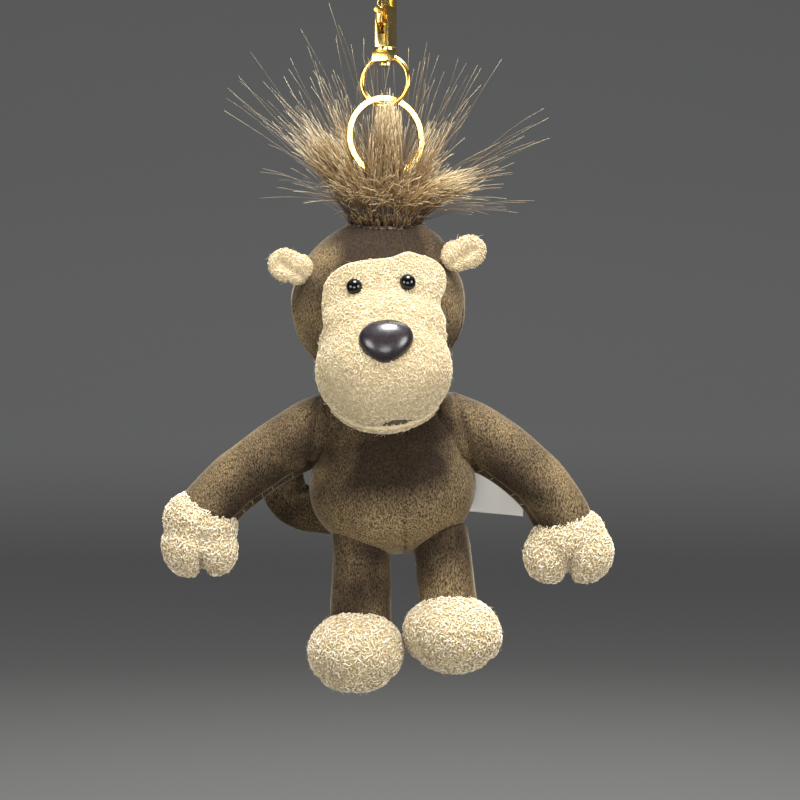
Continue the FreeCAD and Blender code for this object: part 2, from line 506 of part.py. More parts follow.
for side, inwards in (("left", "-1"), ("right", "1")):
    shoulder_at = dict(x="arm_%s_side + toy_side" % side, y="arm_deep + toy_back", z="-arm_%s_down" % side,
                       axis=Y_AXIS, turn="arm_%s_turn" % side)
    name = "arm_" + side
    above_wrist = half_space(name + "_above", "+z", "-arm_long")
    sleeve_outer = sleeve(name + "_outer", "arm_rad", "arm_wrist_rad", "arm_long")
    sleeve_inner = sleeve(name + "_inner", "arm_rad - plush_wall", "arm_wrist_rad - plush_wall", "arm_long")
    piece(place(cut(name, sleeve_outer, sleeve_inner), **shoulder_at), name + "_cover")
    piece(place(common(name + "_fill", sleeve_outer, sleeve_inner), **shoulder_at), name + "_stuffing")
    hand_outer = cut(name + "_hand_outer", mitten(name + "_mitten", "0", inwards), above_wrist)
    hand_inner = cut(name + "_hand_inner", mitten(name + "_lining", "plush_wall", inwards), above_wrist)
    piece(place(cut(name + "_hand", hand_outer, hand_inner), **shoulder_at), "hand_%s_cover" % side)
    piece(place(common(name + "_hand_fill", hand_outer, hand_inner), **shoulder_at),
          "hand_%s_stuffing" % side)

# ---- legs: a short sleeve from the hip to the ankle seam, and a foot of an upper and a sole ----
for side in ("left", "right"):
    hip_at = dict(x="leg_%s_side + toy_side" % side, y="hip_deep + toy_back", z="-leg_%s_down" % side)
    name, length = "leg_" + side, "leg_%s_long" % side
    above_ankle = half_space(name + "_above", "+z", "-" + length)
    sleeve_outer = sleeve(name + "_outer", "leg_rad", "leg_rad", length)
    sleeve_inner = sleeve(name + "_inner", "leg_rad - plush_wall", "leg_rad - plush_wall", length)
    piece(place(cut(name, sleeve_outer, sleeve_inner), **hip_at), name + "_cover")
    piece(place(common(name + "_fill", sleeve_outer, sleeve_inner), **hip_at), name + "_stuffing")
    foot_at = dict(y="-foot_forward", z="-%s - foot_drop" % length)
    foot_outer = ellipsoid(name + "_foot_outer", "foot_half_wide", "foot_half_deep", "foot_half_tall",
                           **foot_at)
    foot_inner = ellipsoid(name + "_foot_inner", "foot_half_wide - plush_wall",
                           "foot_half_deep - plush_wall", "foot_half_tall - plush_wall", **foot_at)
    foot_shell = cut(name + "_foot_shell", foot_outer, foot_inner, above_ankle)
    sole_line = "-%s - foot_drop - sole_drop" % length
    upper = cut(name + "_upper", foot_shell, half_space(name + "_under", "-z", sole_line))
    sole = cut(name + "_sole", foot_shell, half_space(name + "_over", "+z", sole_line))
    piece(place(upper, **hip_at), "foot_%s_upper" % side)
    piece(place(sole, **hip_at), "foot_%s_sole" % side)
    piece(place(cut(name + "_foot_fill", foot_inner, above_ankle), **hip_at), "foot_%s_stuffing" % side)

# ---- tail: an arc behind the right flank, round at both ends ----
tail_at = dict(x="tail_side + toy_side", y="tail_deep + toy_back", z="-tail_down")


def tail_form(name, radius):
    arc = primitive("Torus", name + "_arc", dict(axis=X_AXIS, turn="90"), Radius1="tail_curl",
                    Radius2=radius, Angle3="tail_sweep")
    tip = ellipsoid(name + "_tip", radius, radius, radius, x="tail_curl * cos(tail_sweep * 1deg)",
                    z="tail_curl * sin(tail_sweep * 1deg)")
    root = ellipsoid(name + "_root", radius, radius, radius, x="tail_curl")
    return fuse(name, arc, tip, root)


tail_turn = dict(axis=Y_AXIS, turn="360 - tail_start - tail_sweep", **tail_at)
tail_outer = tail_form("tail_outer", "tail_rad")
tail_inner = tail_form("tail_inner", "tail_rad - plush_wall")
piece(place(cut("tail", tail_outer, tail_inner), **tail_turn), "tail_cover")
piece(place(common("tail_fill", tail_outer, tail_inner), **tail_turn), "tail_stuffing")

# ---- check every object, then write the pieces ----
doc.recompute()
failed = [item.Name for item in doc.Objects if {"Invalid", "Error"} & set(item.State)]
if failed:
    raise RuntimeError("objects that failed: %s" % failed)
for item in pieces:
    if item.Shape.isNull() or not item.Shape.isValid():
        raise RuntimeError("not a valid shape: %s" % item.Label)
os.makedirs("parts", exist_ok=True)
for item in pieces:
    item.Shape.exportStep("parts/%s.step" % item.Label)
print("%d pieces written" % len(pieces))
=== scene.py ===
"""A small plush monkey charm on a gold clasp: its looks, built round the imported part.
Metres, +Z up, the toy faces -Y. Lengths named in mm are turned to metres by MM."""
import math

import bmesh
import bpy
import numpy as np
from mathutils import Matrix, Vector, noise
from mathutils.bvhtree import BVHTree


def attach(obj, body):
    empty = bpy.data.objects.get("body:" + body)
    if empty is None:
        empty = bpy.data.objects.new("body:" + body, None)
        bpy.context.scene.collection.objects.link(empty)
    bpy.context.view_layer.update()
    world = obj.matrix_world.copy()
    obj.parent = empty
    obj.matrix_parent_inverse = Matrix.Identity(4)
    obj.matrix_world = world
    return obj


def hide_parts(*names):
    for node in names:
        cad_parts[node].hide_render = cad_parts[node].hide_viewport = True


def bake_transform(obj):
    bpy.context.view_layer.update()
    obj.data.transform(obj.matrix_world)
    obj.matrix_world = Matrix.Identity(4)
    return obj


# ---- The room ----
# A wide bowl of grey painted board, darker at its foot, whose floor curves up into its wall, so no edge shows.
# The toy hangs in its middle, under a soft lamp with another behind it, and soft-edged spots light it from the
# left, the right and below.
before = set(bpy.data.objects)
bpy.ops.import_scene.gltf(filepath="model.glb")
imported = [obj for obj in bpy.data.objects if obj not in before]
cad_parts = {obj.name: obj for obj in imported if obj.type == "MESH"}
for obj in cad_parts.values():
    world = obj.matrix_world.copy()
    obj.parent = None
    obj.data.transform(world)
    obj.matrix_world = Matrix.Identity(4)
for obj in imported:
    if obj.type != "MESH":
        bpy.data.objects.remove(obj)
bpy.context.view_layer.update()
bpy.ops.object.select_all(action="DESELECT")
MM = 0.001


def linear(shade):
    """A six-digit sRGB shade as the linear colour that shaders take."""
    parts = [int(shade[i:i + 2], 16) / 255 for i in (0, 2, 4)]
    return tuple(c / 12.92 if c <= 0.04045 else ((c + 0.055) / 1.055) ** 2.4 for c in parts) + (1.0,)


def put(tree, kind, sockets=None, stops=(), **settings):
    """Adds a node with its settings, and fills its sockets with numbers, sRGB shades or other nodes' outputs.
    Stops are a ramp's positions and shades, from its low end to its high end."""
    node = tree.nodes.new("ShaderNode" + kind)
    for name, value in settings.items():
        setattr(node, name, value)
    for key, value in (sockets or {}).items():
        if isinstance(value, bpy.types.NodeSocket):
            tree.links.new(value, node.inputs[key])
        else:
            node.inputs[key].default_value = linear(value) if isinstance(value, str) else value
    for _ in stops[2:]:
        node.color_ramp.elements.new(0.5)
    for k, (spot, shade) in enumerate(stops):
        node.color_ramp.elements[k].position, node.color_ramp.elements[k].color = spot, linear(shade)
    return node


def new_finish(name):
    """A new material, its empty shader tree, and the piece's own coordinates in that tree."""
    finish = bpy.data.materials.new(name)
    finish.use_nodes = True
    tree = finish.node_tree
    tree.nodes.clear()
    return finish, tree, put(tree, "TexCoord").outputs["Object"]


painted_board, tree, place = new_finish("painted_board")
height = put(tree, "SeparateXYZ", {0: place}).outputs["Z"]
floor_down, pale_from, bowl_out = -0.34, -0.16, 2.6
climb = put(tree, "MapRange", {"Value": height, 1: floor_down, 2: pale_from, 3: 0.0, 4: 1.0},
            interpolation_type="SMOOTHSTEP").outputs[0]
tint = put(tree, "Mix", {0: climb, 6: "4b4b49", 7: "747472"}, data_type="RGBA").outputs[2]
board = put(tree, "BsdfPrincipled", {"Base Color": tint, "Roughness": 0.9})
put(tree, "OutputMaterial", {"Surface": board.outputs[0]})

bpy.ops.mesh.primitive_circle_add(vertices=96, radius=0.6, fill_type="NGON", location=(0, 0, floor_down))
bowl = bpy.context.object
bowl.name = "studio_bowl"
bpy.ops.object.mode_set(mode="EDIT")
bpy.ops.mesh.select_mode(type="FACE")
bpy.ops.mesh.select_all(action="SELECT")
bowl_rings = ((1.2, 0.0), (1.7, 0.05), (2.1, 0.2), (2.4, 0.5), (2.55, 0.9), (bowl_out, 1.5), (bowl_out, 2.2))
for reach, rise in bowl_rings:
    bpy.ops.mesh.extrude_region_move()
    now = max(v.co.xy.length for v in bmesh.from_edit_mesh(bowl.data).verts if v.select)
    bpy.ops.transform.resize(value=(reach / now, reach / now, 1), center_override=(0, 0, floor_down))
    level = max(v.co.z for v in bmesh.from_edit_mesh(bowl.data).verts if v.select)
    bpy.ops.transform.translate(value=(0, 0, rise - level))
bpy.ops.mesh.delete(type="ONLY_FACE")
bpy.ops.object.mode_set(mode="OBJECT")
bpy.ops.object.transform_apply(location=True, rotation=True, scale=True)
bpy.ops.object.shade_smooth()
bowl.data.materials.append(painted_board)

camera_spot, lens_mm, sensor_mm = (0.0045, -0.70, -0.1266), 105, 36
bpy.ops.object.camera_add(location=camera_spot, rotation=(math.radians(90), 0, 0))
camera = bpy.context.object
camera.data.sensor_width, camera.data.lens = sensor_mm, lens_mm
bpy.context.scene.camera = camera

toy_middle, beam = Vector((0, 0, -0.12)), math.radians(46)
lamps = (  # name, kind, place, size and power in watts
    ("lamp_above", "AREA", (0.10, -0.38, 1.05), 0.55, 39.0),
    ("lamp_left", "SPOT", (-0.95, -0.80, -0.10), 0.35, 47.0),
    ("lamp_right", "SPOT", (1.00, -0.70, 0.00), 0.35, 58.0),
    ("lamp_below", "SPOT", (0.0, -0.75, -0.31), 0.40, 52.0),
    ("lamp_behind", "AREA", (0.10, 0.55, 0.55), 0.7, 12.0))
for name, kind, spot, size, watts in lamps:
    bpy.ops.object.light_add(type=kind, location=spot)
    lamp = bpy.context.object
    lamp.name, lamp.data.energy = name, watts
    if kind == "AREA":
        lamp.data.size = size
    else:
        lamp.data.shadow_soft_size, lamp.data.spot_size, lamp.data.spot_blend = size, beam, 1.0
    lamp.visible_camera = False
    lamp.rotation_euler = (toy_middle - Vector(spot)).to_track_quat("-Z", "Y").to_euler()
world = bpy.data.worlds.new("room_light")
bpy.context.scene.world = world
world.use_nodes = True
world.node_tree.nodes["Background"].inputs[0].default_value = linear("dfe3ea")
world.node_tree.nodes["Background"].inputs[1].default_value = 0.62
bpy.context.scene.view_settings.view_transform = "Standard"

# ---- The clasp, the swivel and the rings ----
# Zinc castings and drawn wire, tumbled smooth and plated with bright yellow gold. The hook, gate and swivel
# eye are cast with their edges rounded over; the key ring is flat strip wound twice on itself.
gold_plating, tree, place = new_finish("bright_gold_plating")
wear = put(tree, "TexNoise", {"Vector": place, "Scale": 420.0, "Detail": 5.0, "Roughness": 0.6}).outputs["Fac"]
grain = put(tree, "TexNoise", {"Vector": place, "Scale": 3200.0, "Detail": 2.0}).outputs["Fac"]
tone = put(tree, "ValToRGB", {"Fac": wear}, stops=((0.32, "dba840"), (0.62, "ffe08a")))
dull = put(tree, "MapRange", {"Value": wear, 1: 0.3, 2: 0.7, 3: 0.24, 4: 0.12}).outputs[0]
ripple = put(tree, "Bump", {"Height": grain, "Strength": 0.10, "Distance": 0.00005}).outputs[0]
gilt = put(tree, "BsdfPrincipled", {
    "Base Color": tone.outputs[0], "Metallic": 1.0, "Roughness": dull, "Normal": ripple})
put(tree, "OutputMaterial", {"Surface": gilt.outputs[0]})


def pick(piece):
    """Selects only this piece."""
    bpy.ops.object.select_all(action="DESELECT")
    piece.select_set(True)
    bpy.context.view_layer.objects.active = piece


def smooth(piece, sharp=None):
    """Shades a piece smooth, but not over edges that turn by more than the sharp angle, in degrees."""
    pick(piece)
    if sharp:
        bpy.ops.object.shade_smooth_by_angle(angle=math.radians(sharp))
    else:
        bpy.ops.object.shade_smooth()


def new_piece(name, mesh):
    """Puts a mesh in the room under its name."""
    piece = bpy.data.objects.new(name, mesh)
    bpy.context.collection.objects.link(piece)
    return piece


def apply_all(piece):
    """Applies the piece's modifiers, from the first to the last."""
    pick(piece)
    for modifier in list(piece.modifiers):
        bpy.ops.object.modifier_apply(modifier=modifier.name)


def paint(piece, finish):
    """Gives a piece its finish."""
    piece.data.materials.clear()
    piece.data.materials.append(finish)


def dress(piece, finish, body, slot, *nodes):
    """Gives a piece its finish, lets it ride on its body, and puts it in the CAD nodes' place. The slot is not used."""
    paint(piece, finish)
    if body:
        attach(piece, body)
    if nodes:
        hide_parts(*nodes)
    return piece


def round_over(node, name, edge):
    """A copy of a casting with its sharp edges rounded over, as tumbling leaves them, by an edge in mm."""
    copy = new_piece(name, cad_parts[node].data.copy())
    pick(copy)
    bpy.ops.object.mode_set(mode="EDIT")
    bpy.ops.mesh.select_all(action="SELECT")
    bpy.ops.mesh.remove_doubles(threshold=2e-6)
    bpy.ops.mesh.dissolve_limited(angle_limit=math.radians(1.5))
    bpy.ops.object.mode_set(mode="OBJECT")
    bevel = copy.modifiers.new("rounded_edge", "BEVEL")
    bevel.width, bevel.segments, bevel.limit_method, bevel.angle_limit = edge * MM, 3, "ANGLE", math.radians(38)
    apply_all(copy)
    smooth(copy, 42)
    return copy


castings = (  # node, piece, rounding of the edges in mm, body
    ("snap_hook_body", "clasp_casting", 0.28, "hook"), ("snap_gate", "clasp_gate", 0.2, "gate"),
    ("swivel_rivet", "swivel_rivet_turned", 0.2, "hook"), ("swivel_eye_ring", "swivel_eye_cast", 0.3, "swivel"))
for node, name, edge, body in castings:
    dress(round_over(node, name, edge), gold_plating, body, "gold_plate", node)
for node in ("gate_pin", "split_key_ring"):
    paint(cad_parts[node], gold_plating)

# The gate spring is drawn carbon steel wire, left bright: fine lines run along it, and it is a cool grey.
drawn_steel, tree, place = new_finish("drawn_spring_steel")
lines = put(tree, "TexNoise", {"Vector": place, "Scale": 5200.0, "Detail": 3.0}).outputs["Fac"]
shade = put(tree, "Mix", {0: lines, 6: "7d7f80", 7: "c3c5c6"}, data_type="RGBA").outputs[2]
wire = put(tree, "BsdfPrincipled", {"Base Color": shade, "Metallic": 1.0, "Roughness": 0.32})
put(tree, "OutputMaterial", {"Surface": wire.outputs[0]})
paint(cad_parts["gate_spring"], drawn_steel)

# ---- The hang loop ----
# A flat woven polyester ribbon, folded over and sewn into the crown. Its weft shows as fine ribs across it.
woven_ribbon, tree, place = new_finish("woven_polyester_ribbon")
ribs = put(tree, "TexWave", {"Vector": place, "Scale": 620.0, "Distortion": 0.6}, bands_direction="Z").outputs["Fac"]
shade = put(tree, "Mix", {0: ribs, 6: "2f241a", 7: "6b573f"}, data_type="RGBA").outputs[2]
rib_bump = put(tree, "Bump", {"Height": ribs, "Strength": 0.5, "Distance": 0.00012}).outputs[0]
tape = put(tree, "BsdfPrincipled", {"Base Color": shade, "Roughness": 0.72, "Sheen Weight": 0.25, "Normal": rib_bump})
put(tree, "OutputMaterial", {"Surface": tape.outputs[0]})
paint(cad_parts["hang_loop"], woven_ribbon)

# ---- The head ----
# Brown short-pile velour sewn over a full round stuffing, with a curled cream fleece face let into its front.
# The whole form is skinned first; the brown sides, the face, the lip and the stuffing are all cut from it.
toy_side, toy_back = -0.35, 1.1


def shape_up(points):
    """Points in the part's millimetres, as metres."""
    return np.asarray(points, float) * MM


def run_together(name, forms, cell, relax):
    """Runs ellipsoids together under one closed skin. Each form is its centre, its half sizes and its roll, in mm."""
    bpy.ops.object.select_all(action="DESELECT")
    made = []
    for centre, half, roll in forms:
        bpy.ops.mesh.primitive_ico_sphere_add(subdivisions=5, radius=1, location=shape_up(centre),
                                              rotation=(0, math.radians(roll), 0), scale=shape_up(half))
        made.append(bpy.context.object)
    for form in made:
        form.select_set(True)
    bpy.context.view_layer.objects.active = made[0]
    if len(made) > 1:
        bpy.ops.object.join()
    bpy.ops.object.transform_apply(location=True, rotation=True, scale=True)
    skin = bpy.context.object
    skin.name = name
    over = skin.modifiers.new("skin", "REMESH")
    over.mode, over.voxel_size = "VOXEL", cell * MM
    ease = skin.modifiers.new("ease", "SMOOTH")
    ease.factor, ease.iterations = 0.5, relax
    apply_all(skin)
    return skin


def places(piece):
    """All the piece's points and their normals, as two arrays in metres."""
    count = len(piece.data.vertices)
    spots, ways = np.empty(count * 3), np.empty(count * 3)
    piece.data.vertices.foreach_get("co", spots)
    piece.data.vertex_normals.foreach_get("vector", ways)
    return spots.reshape(-1, 3), ways.reshape(-1, 3)


def move_to(piece, spots):
    """Moves all the piece's points."""
    piece.data.vertices.foreach_set("co", np.asarray(spots, np.float32).ravel())
    piece.data.update()


def lumps(piece, size, height, seed):
    """Loose stuffing pushes the cloth out unevenly: lumps of that size and height, in mm."""
    spots, ways = places(piece)
    push = np.array([noise.noise(Vector(p) / (size * MM) + Vector((seed, seed * 0.7, -seed))) for p in spots])
    move_to(piece, spots + ways * push[:, None] * height * MM)


def press_line(piece, line, depth, wide, front=None):
    """Presses a seam or a fold into the cloth along a line of points in mm. A point has x and z, and y where it
    matters; front keeps to the side of the toy that faces that way."""
    spots, ways = places(piece)
    line = [shape_up(p) for p in line]
    flat = [0, 2] if len(line[0]) == 2 else [0, 1, 2]
    own = spots[:, flat]
    far = np.full(len(own), 1e9)
    for a, b in zip(line, line[1:]):
        along = np.clip(((own - a) @ (b - a)) / ((b - a) @ (b - a)), 0, 1)
        far = np.minimum(far, np.linalg.norm(own - a - along[:, None] * (b - a), axis=1))
    dent = depth * MM * np.exp(-(far / (wide * MM)) ** 2)
    if front is not None:
        dent = dent * np.clip(ways @ np.array(front) * 3, 0, 1)
    move_to(piece, spots - ways * dent[:, None])


def finer(piece, levels):
    """Doubles the skin's points, smoothly, as many times as asked."""
    more = piece.modifiers.new("finer", "SUBSURF")
    more.levels = more.render_levels = levels
    apply_all(piece)


def twin(piece, name):
    """A copy of the piece with its own mesh."""
    return new_piece(name, piece.data.copy())


def split_by(piece, point, way, name=None):
    """Cuts a closed piece by a plane, in mm, and keeps the side away from the plane's direction, closed again.
    With a name, the other side is kept as a second piece."""
    other = twin(piece, name) if name else None
    for part, clear in ((piece, {"clear_outer": True}), (other, {"clear_inner": True})):
        if part:
            pick(part)
            bpy.ops.object.mode_set(mode="EDIT")
            bpy.ops.mesh.select_all(action="SELECT")
            bpy.ops.mesh.bisect(plane_co=shape_up(point), plane_no=way, use_fill=True, **clear)
            bpy.ops.object.mode_set(mode="OBJECT")
    return other


def shrink(piece, inset):
    """Draws a closed piece in all round, in mm."""
    spots, ways = places(piece)
    move_to(piece, spots - ways * inset * MM)
    return piece


# Short-pile velour: dark between the fibres and tan where the pile leans over, in random patches. The tan is also
# painted light, laid on where light falls, and a darker painted shade is laid where shade falls. The sheen gives each
# edge a pale rim while the broad faces stay dark. The pile lies in small strokes about a millimetre long.
brown_velour, tree, place = new_finish("short_pile_velour")
drift = put(tree, "TexNoise", {"Vector": place, "Scale": 300.0, "Detail": 2.0}).outputs["Color"]
bent = put(tree, "VectorMath", {0: drift, "Scale": 0.0011}, operation="SCALE").outputs[0]
lying = put(tree, "VectorMath", {0: place, 1: bent}, operation="ADD").outputs[0]
stroke_map = put(tree, "Mapping", {"Vector": lying, "Scale": (1.0, 1.0, 0.42)}).outputs[0]
strokes = put(tree, "TexNoise", {
    "Vector": stroke_map, "Scale": 3000.0, "Detail": 2.0, "Roughness": 0.55}).outputs["Fac"]
patches = put(tree, "TexNoise", {"Vector": place, "Scale": 62.0, "Detail": 2.0, "Roughness": 0.5}).outputs["Fac"]
pile = put(tree, "ValToRGB", {"Fac": strokes}, stops=((0.38, "120c07"), (0.64, "392a1a")))
brushed_pile_and_painted_light = put(tree, "ValToRGB", {"Fac": strokes}, stops=((0.38, "382c1e"), (0.64, "98825c")))
lean = put(tree, "MapRange", {"Value": patches, 1: 0.42, 2: 0.68, 3: 0.0, 4: 0.45}).outputs[0]
# The marks on each piece are brushed pile, painted light where light falls and painted shade where shade falls.
brush_and_light_marks = put(tree, "Attribute", attribute_name="brushed_pile_and_painted_light").outputs["Fac"]
lean = put(tree, "Math", {0: lean, 1: brush_and_light_marks}, operation="ADD", use_clamp=True).outputs[0]
colour = put(tree, "Mix", {0: lean, 6: pile.outputs[0], 7: brushed_pile_and_painted_light.outputs[0]}, data_type="RGBA").outputs[2]
nap = put(tree, "Bump", {"Height": strokes, "Strength": 0.6, "Distance": 0.00025}).outputs[0]
velour = put(tree, "BsdfPrincipled", {"Base Color": colour, "Roughness": 0.85, "Specular IOR Level": 0.2,
                                      "Sheen Weight": 0.55, "Sheen Roughness": 0.28, "Sheen Tint": "dccbae",
                                      "Normal": nap})
put(tree, "OutputMaterial", {"Surface": velour.outputs[0]})


def brush_and_paint_light(piece, *brush_and_light_marks):
    """Lays marks on the side that faces the front, each at x and z with its reach and strength: brushed pile and
    painted light where the strength is positive, painted shade where it is negative.
    """
    spots, ways = places(piece)
    lean = np.zeros(len(spots))
    for x, z, reach, strength in brush_and_light_marks:
        near = np.exp(-((spots[:, 0] / MM - x) ** 2 + (spots[:, 2] / MM - z) ** 2) / reach ** 2)
        lean += strength * near * np.clip(0.4 - ways[:, 1], 0, 1)
    piece.data.attributes.new("brushed_pile_and_painted_light", "FLOAT", "POINT").data.foreach_set("value", lean.astype(np.float32))


# Loose polyester fibre: off-white, soft and slightly see-through, with fine crossing hairs.
fibre_fill, tree, place = new_finish("polyester_fibre_fill")
wisps = put(tree, "TexNoise", {
    "Vector": place, "Scale": 900.0, "Detail": 6.0, "Roughness": 0.7, "Distortion": 1.5}).outputs["Fac"]
shade = put(tree, "Mix", {0: wisps, 6: "cfcdc6", 7: "f4f3ee"}, data_type="RGBA").outputs[2]
puff = put(tree, "Bump", {"Height": wisps, "Strength": 0.6, "Distance": 0.0006}).outputs[0]
wool = put(tree, "BsdfPrincipled", {"Base Color": shade, "Roughness": 0.95, "Sheen Weight": 0.5, "Normal": puff})
put(tree, "OutputMaterial", {"Surface": wool.outputs[0]})


def stuff(skin, name, inset, body, node, share=1.0, top=None):
    """Fills a skin with loose fibre, drawn in from it by an inset in mm, with a share of its faces. Above top, a
    height in mm, it is cut away."""
    fill = shrink(twin(skin, name), inset)
    if share < 1:
        fill.modifiers.new("fewer", "DECIMATE").ratio = share
        apply_all(fill)
    if top is not None:
        split_by(fill, (0, 0, top), (0, 0, 1))
    return dress(fill, fibre_fill, body, "fibre_fill", node)


head_spot = np.array([-1.6 + toy_side, 2.0 + toy_back, -98.0])
head_form = run_together("head_form", [
    (head_spot, (26.2, 21.6, 25.0), 4),
    (head_spot + (1.2, 0, 8.0), (20.5, 17.5, 18.6), 4),
    ((0.0, 2.6, -86.0), (20.4, 14.5, 14.6), 0),
    ((-0.35, -15.2, -117.5), (19.0, 16.2, 17.2), 0),
    ((-0.35, -12.4, -105.5), (18.2, 12.6, 11.6), 0)], cell=1.0, relax=10)
lumps(head_form, size=11, height=0.5, seed=3)
finer(head_form, 1)


def face_edge(spots):
    """How far points lie outside the face panel, in mm. Its outline is a rounded pane over the eyes that is pinched
    in beside the nose, and below it the muzzle's whole front."""
    p = np.asarray(spots) / MM
    x, y, z = p[:, 0] + 0.3, p[:, 1], p[:, 2]
    corner, back = 5.5, -6.0
    top = (-84.4 + 0.085 * (x - 6.5) - 0.010 * np.maximum(0, np.abs(x - 5.5) - 8) ** 2
           + 1.5 * np.exp(-((x - 6.9) / 3.2) ** 2))
    right = 18.6 - 1.9 * np.exp(-((z + 98.5) / 3.6) ** 2) - 3.5 * np.clip((z + 92) / 9, 0, 1) ** 2
    left = -17.7 - 0.6 * np.exp(-((z + 99) / 4) ** 2) + 2.6 * np.clip((z + 94) / 8, 0, 1) ** 2
    low = np.clip((-103.5 - z) / 4.5, 0, 1)
    pane = np.maximum(np.maximum(z - top, x - right), left - x)
    for past in (x - right, left - x):
        pane = np.maximum(pane, np.hypot(np.maximum(0, z - top + corner), np.maximum(0, past + corner)) - corner)
    pane = np.maximum(pane, y - back)
    bulge = np.sqrt(((x - 0.05) / 19) ** 2 + ((y + 15.2) / 16.2) ** 2 + ((z + 117.5) / 17.2) ** 2)
    muzzle = np.maximum(y + 7.5, (bulge - 1.16) * 17)
    return pane * (1 - low) + muzzle * low


def let_in(form, name, edge, lift, roll, thick):
    """Cuts a panel from a form inside an edge, draws its outline smooth, and lifts it so that its rim rolls down to the
    cloth under it. The panel is given a real cloth thickness, in mm."""
    panel = twin(form, name)
    mesh = bmesh.new()
    mesh.from_mesh(panel.data)
    mesh.faces.ensure_lookup_table()
    middles = np.array([f.calc_center_median()[:] for f in mesh.faces])
    outside = edge(middles) > 0
    bmesh.ops.delete(mesh, geom=[f for f, o in zip(mesh.faces, outside) if o], context="FACES")
    mesh.normal_update()
    rim = [v for v in mesh.verts if v.is_boundary]
    for _ in range(3):
        at = np.array([v.co[:] for v in rim])
        way = np.array([v.normal[:] for v in rim])
        base = edge(at)
        slope = np.stack([(edge(at + np.eye(3)[i] * 2e-4) - base) / 0.2 for i in range(3)], axis=1)
        slope -= (slope * way).sum(1)[:, None] * way
        step = -(base[:, None] * slope) / np.maximum((slope ** 2).sum(1), 0.15)[:, None] * MM
        size = np.linalg.norm(step, axis=1)
        step *= np.minimum(1, 0.0006 / np.maximum(size, 1e-9))[:, None]
        for v, s in zip(rim, step):
            v.co += Vector(s)
    bmesh.ops.smooth_vert(mesh, verts=rim, factor=0.5, use_axis_x=True, use_axis_y=True, use_axis_z=True)
    mesh.to_mesh(panel.data)
    mesh.free()
    spots, ways = places(panel)
    inside = np.clip(-edge(spots) / roll, 0, 1)
    height = -0.25 + (lift + 0.25) * np.sqrt(1 - (1 - inside) ** 2)
    move_to(panel, spots + ways * height[:, None] * MM)
    wall = panel.modifiers.new("cloth", "SOLIDIFY")
    wall.thickness, wall.offset = thick * MM, -1
    apply_all(panel)
    return panel


# The head's stuffing fills the brown sides and the face alike.
stuff(head_form, "head_fibre_fill", inset=1.7, body="head", node="head_stuffing", share=0.35)

# Mouth: the face ends in a rolled edge over a thin lower lip, and the two part in a short dark slit.
def mouth(spots):
    """The mouth's line runs across the muzzle's underside and bends back at its ends; it gapes beside the middle."""
    p = np.asarray(spots) / MM
    return -20.6 + 0.034 * p[:, 0] ** 2, 0.2 + 2.5 * np.exp(-((p[:, 0] - 3.6) / 4.4) ** 4)


def upper_edge(spots):
    """The face panel ends at the mouth's front edge."""
    p = np.asarray(spots) / MM
    line, gape = mouth(spots)
    return np.maximum(face_edge(spots), np.minimum(p[:, 1] - line + gape, -126 - p[:, 2]))


def lip_edge(spots):
    """The lip is the muzzle's underside behind the mouth."""
    p = np.asarray(spots) / MM
    line, gape = mouth(spots)
    return np.maximum(face_edge(spots) + 0.3, np.maximum(line + gape * 0.4 - p[:, 1], p[:, 2] + 127))


face = let_in(head_form, "face_cloth", upper_edge, lift=0.9, roll=1.5, thick=0.8)
lip = let_in(head_form, "lip_cloth", lip_edge, lift=1.7, roll=1.0, thick=0.8)

# The hair's knitted backing is a round patch let into the crown.
crown = np.array([0.0, 2.0, -72.4])


def patch_edge(spots):
    """How far points lie outside the round patch on the crown, in mm."""
    p = np.asarray(spots) / MM
    return np.maximum(np.hypot(p[:, 0] - crown[0], p[:, 1] - crown[1]) - 10.8, crown[2] - 14 - p[:, 2])


backing = let_in(head_form, "hair_backing_knit", patch_edge, lift=0.25, roll=1.2, thick=0.6)
dress(backing, woven_ribbon, "head", "pile_backing", "hair_backing")


def ray_skin(piece):
    """A piece's skin, in mm, for casting rays at."""
    return BVHTree.FromPolygons([v.co / MM for v in piece.data.vertices], [p.vertices for p in piece.data.polygons])


crown_skin = ray_skin(head_form)

# The brown cover is pressed in where its panels meet, then split along the crown seam.
press_line(head_form, [(4.2, -74), (5.6, -80), (6.6, -85.5)], depth=0.55, wide=0.5, front=(0, -1, 0.3))
for seam in ([(-19.5, -6, -79), (-25.5, -3.5, -86), (-28, -2.5, -98), (-24.5, -2.0, -110), (-18, -4, -118)],
             [(19.5, -5, -80), (23.0, -3.5, -88), (24.3, -2.5, -98), (21.0, -2.0, -109), (16, -4, -117)]):
    press_line(head_form, seam, depth=0.5, wide=0.6)
# The head's sides are painted lighter, as light falling on them, and its top is painted darker, as shade.
brush_and_paint_light(head_form, (-25, -104, 9, 0.6), (23, -98, 9, 0.5), (-20, -84, 6, 0.4), (18, -82, 6, 0.3), (0, -80, 11, -0.6))
head_form.name = "head_velour_right"
head_left = split_by(head_form, (5.6, 0, -82), (0.97, 0, 0.24), "head_velour_left")
for piece, node in ((head_form, "head_cover_right"), (head_left, "head_cover_left")):
    smooth(piece, 60)
    dress(piece, brown_velour, "head", "brown_velour", node)
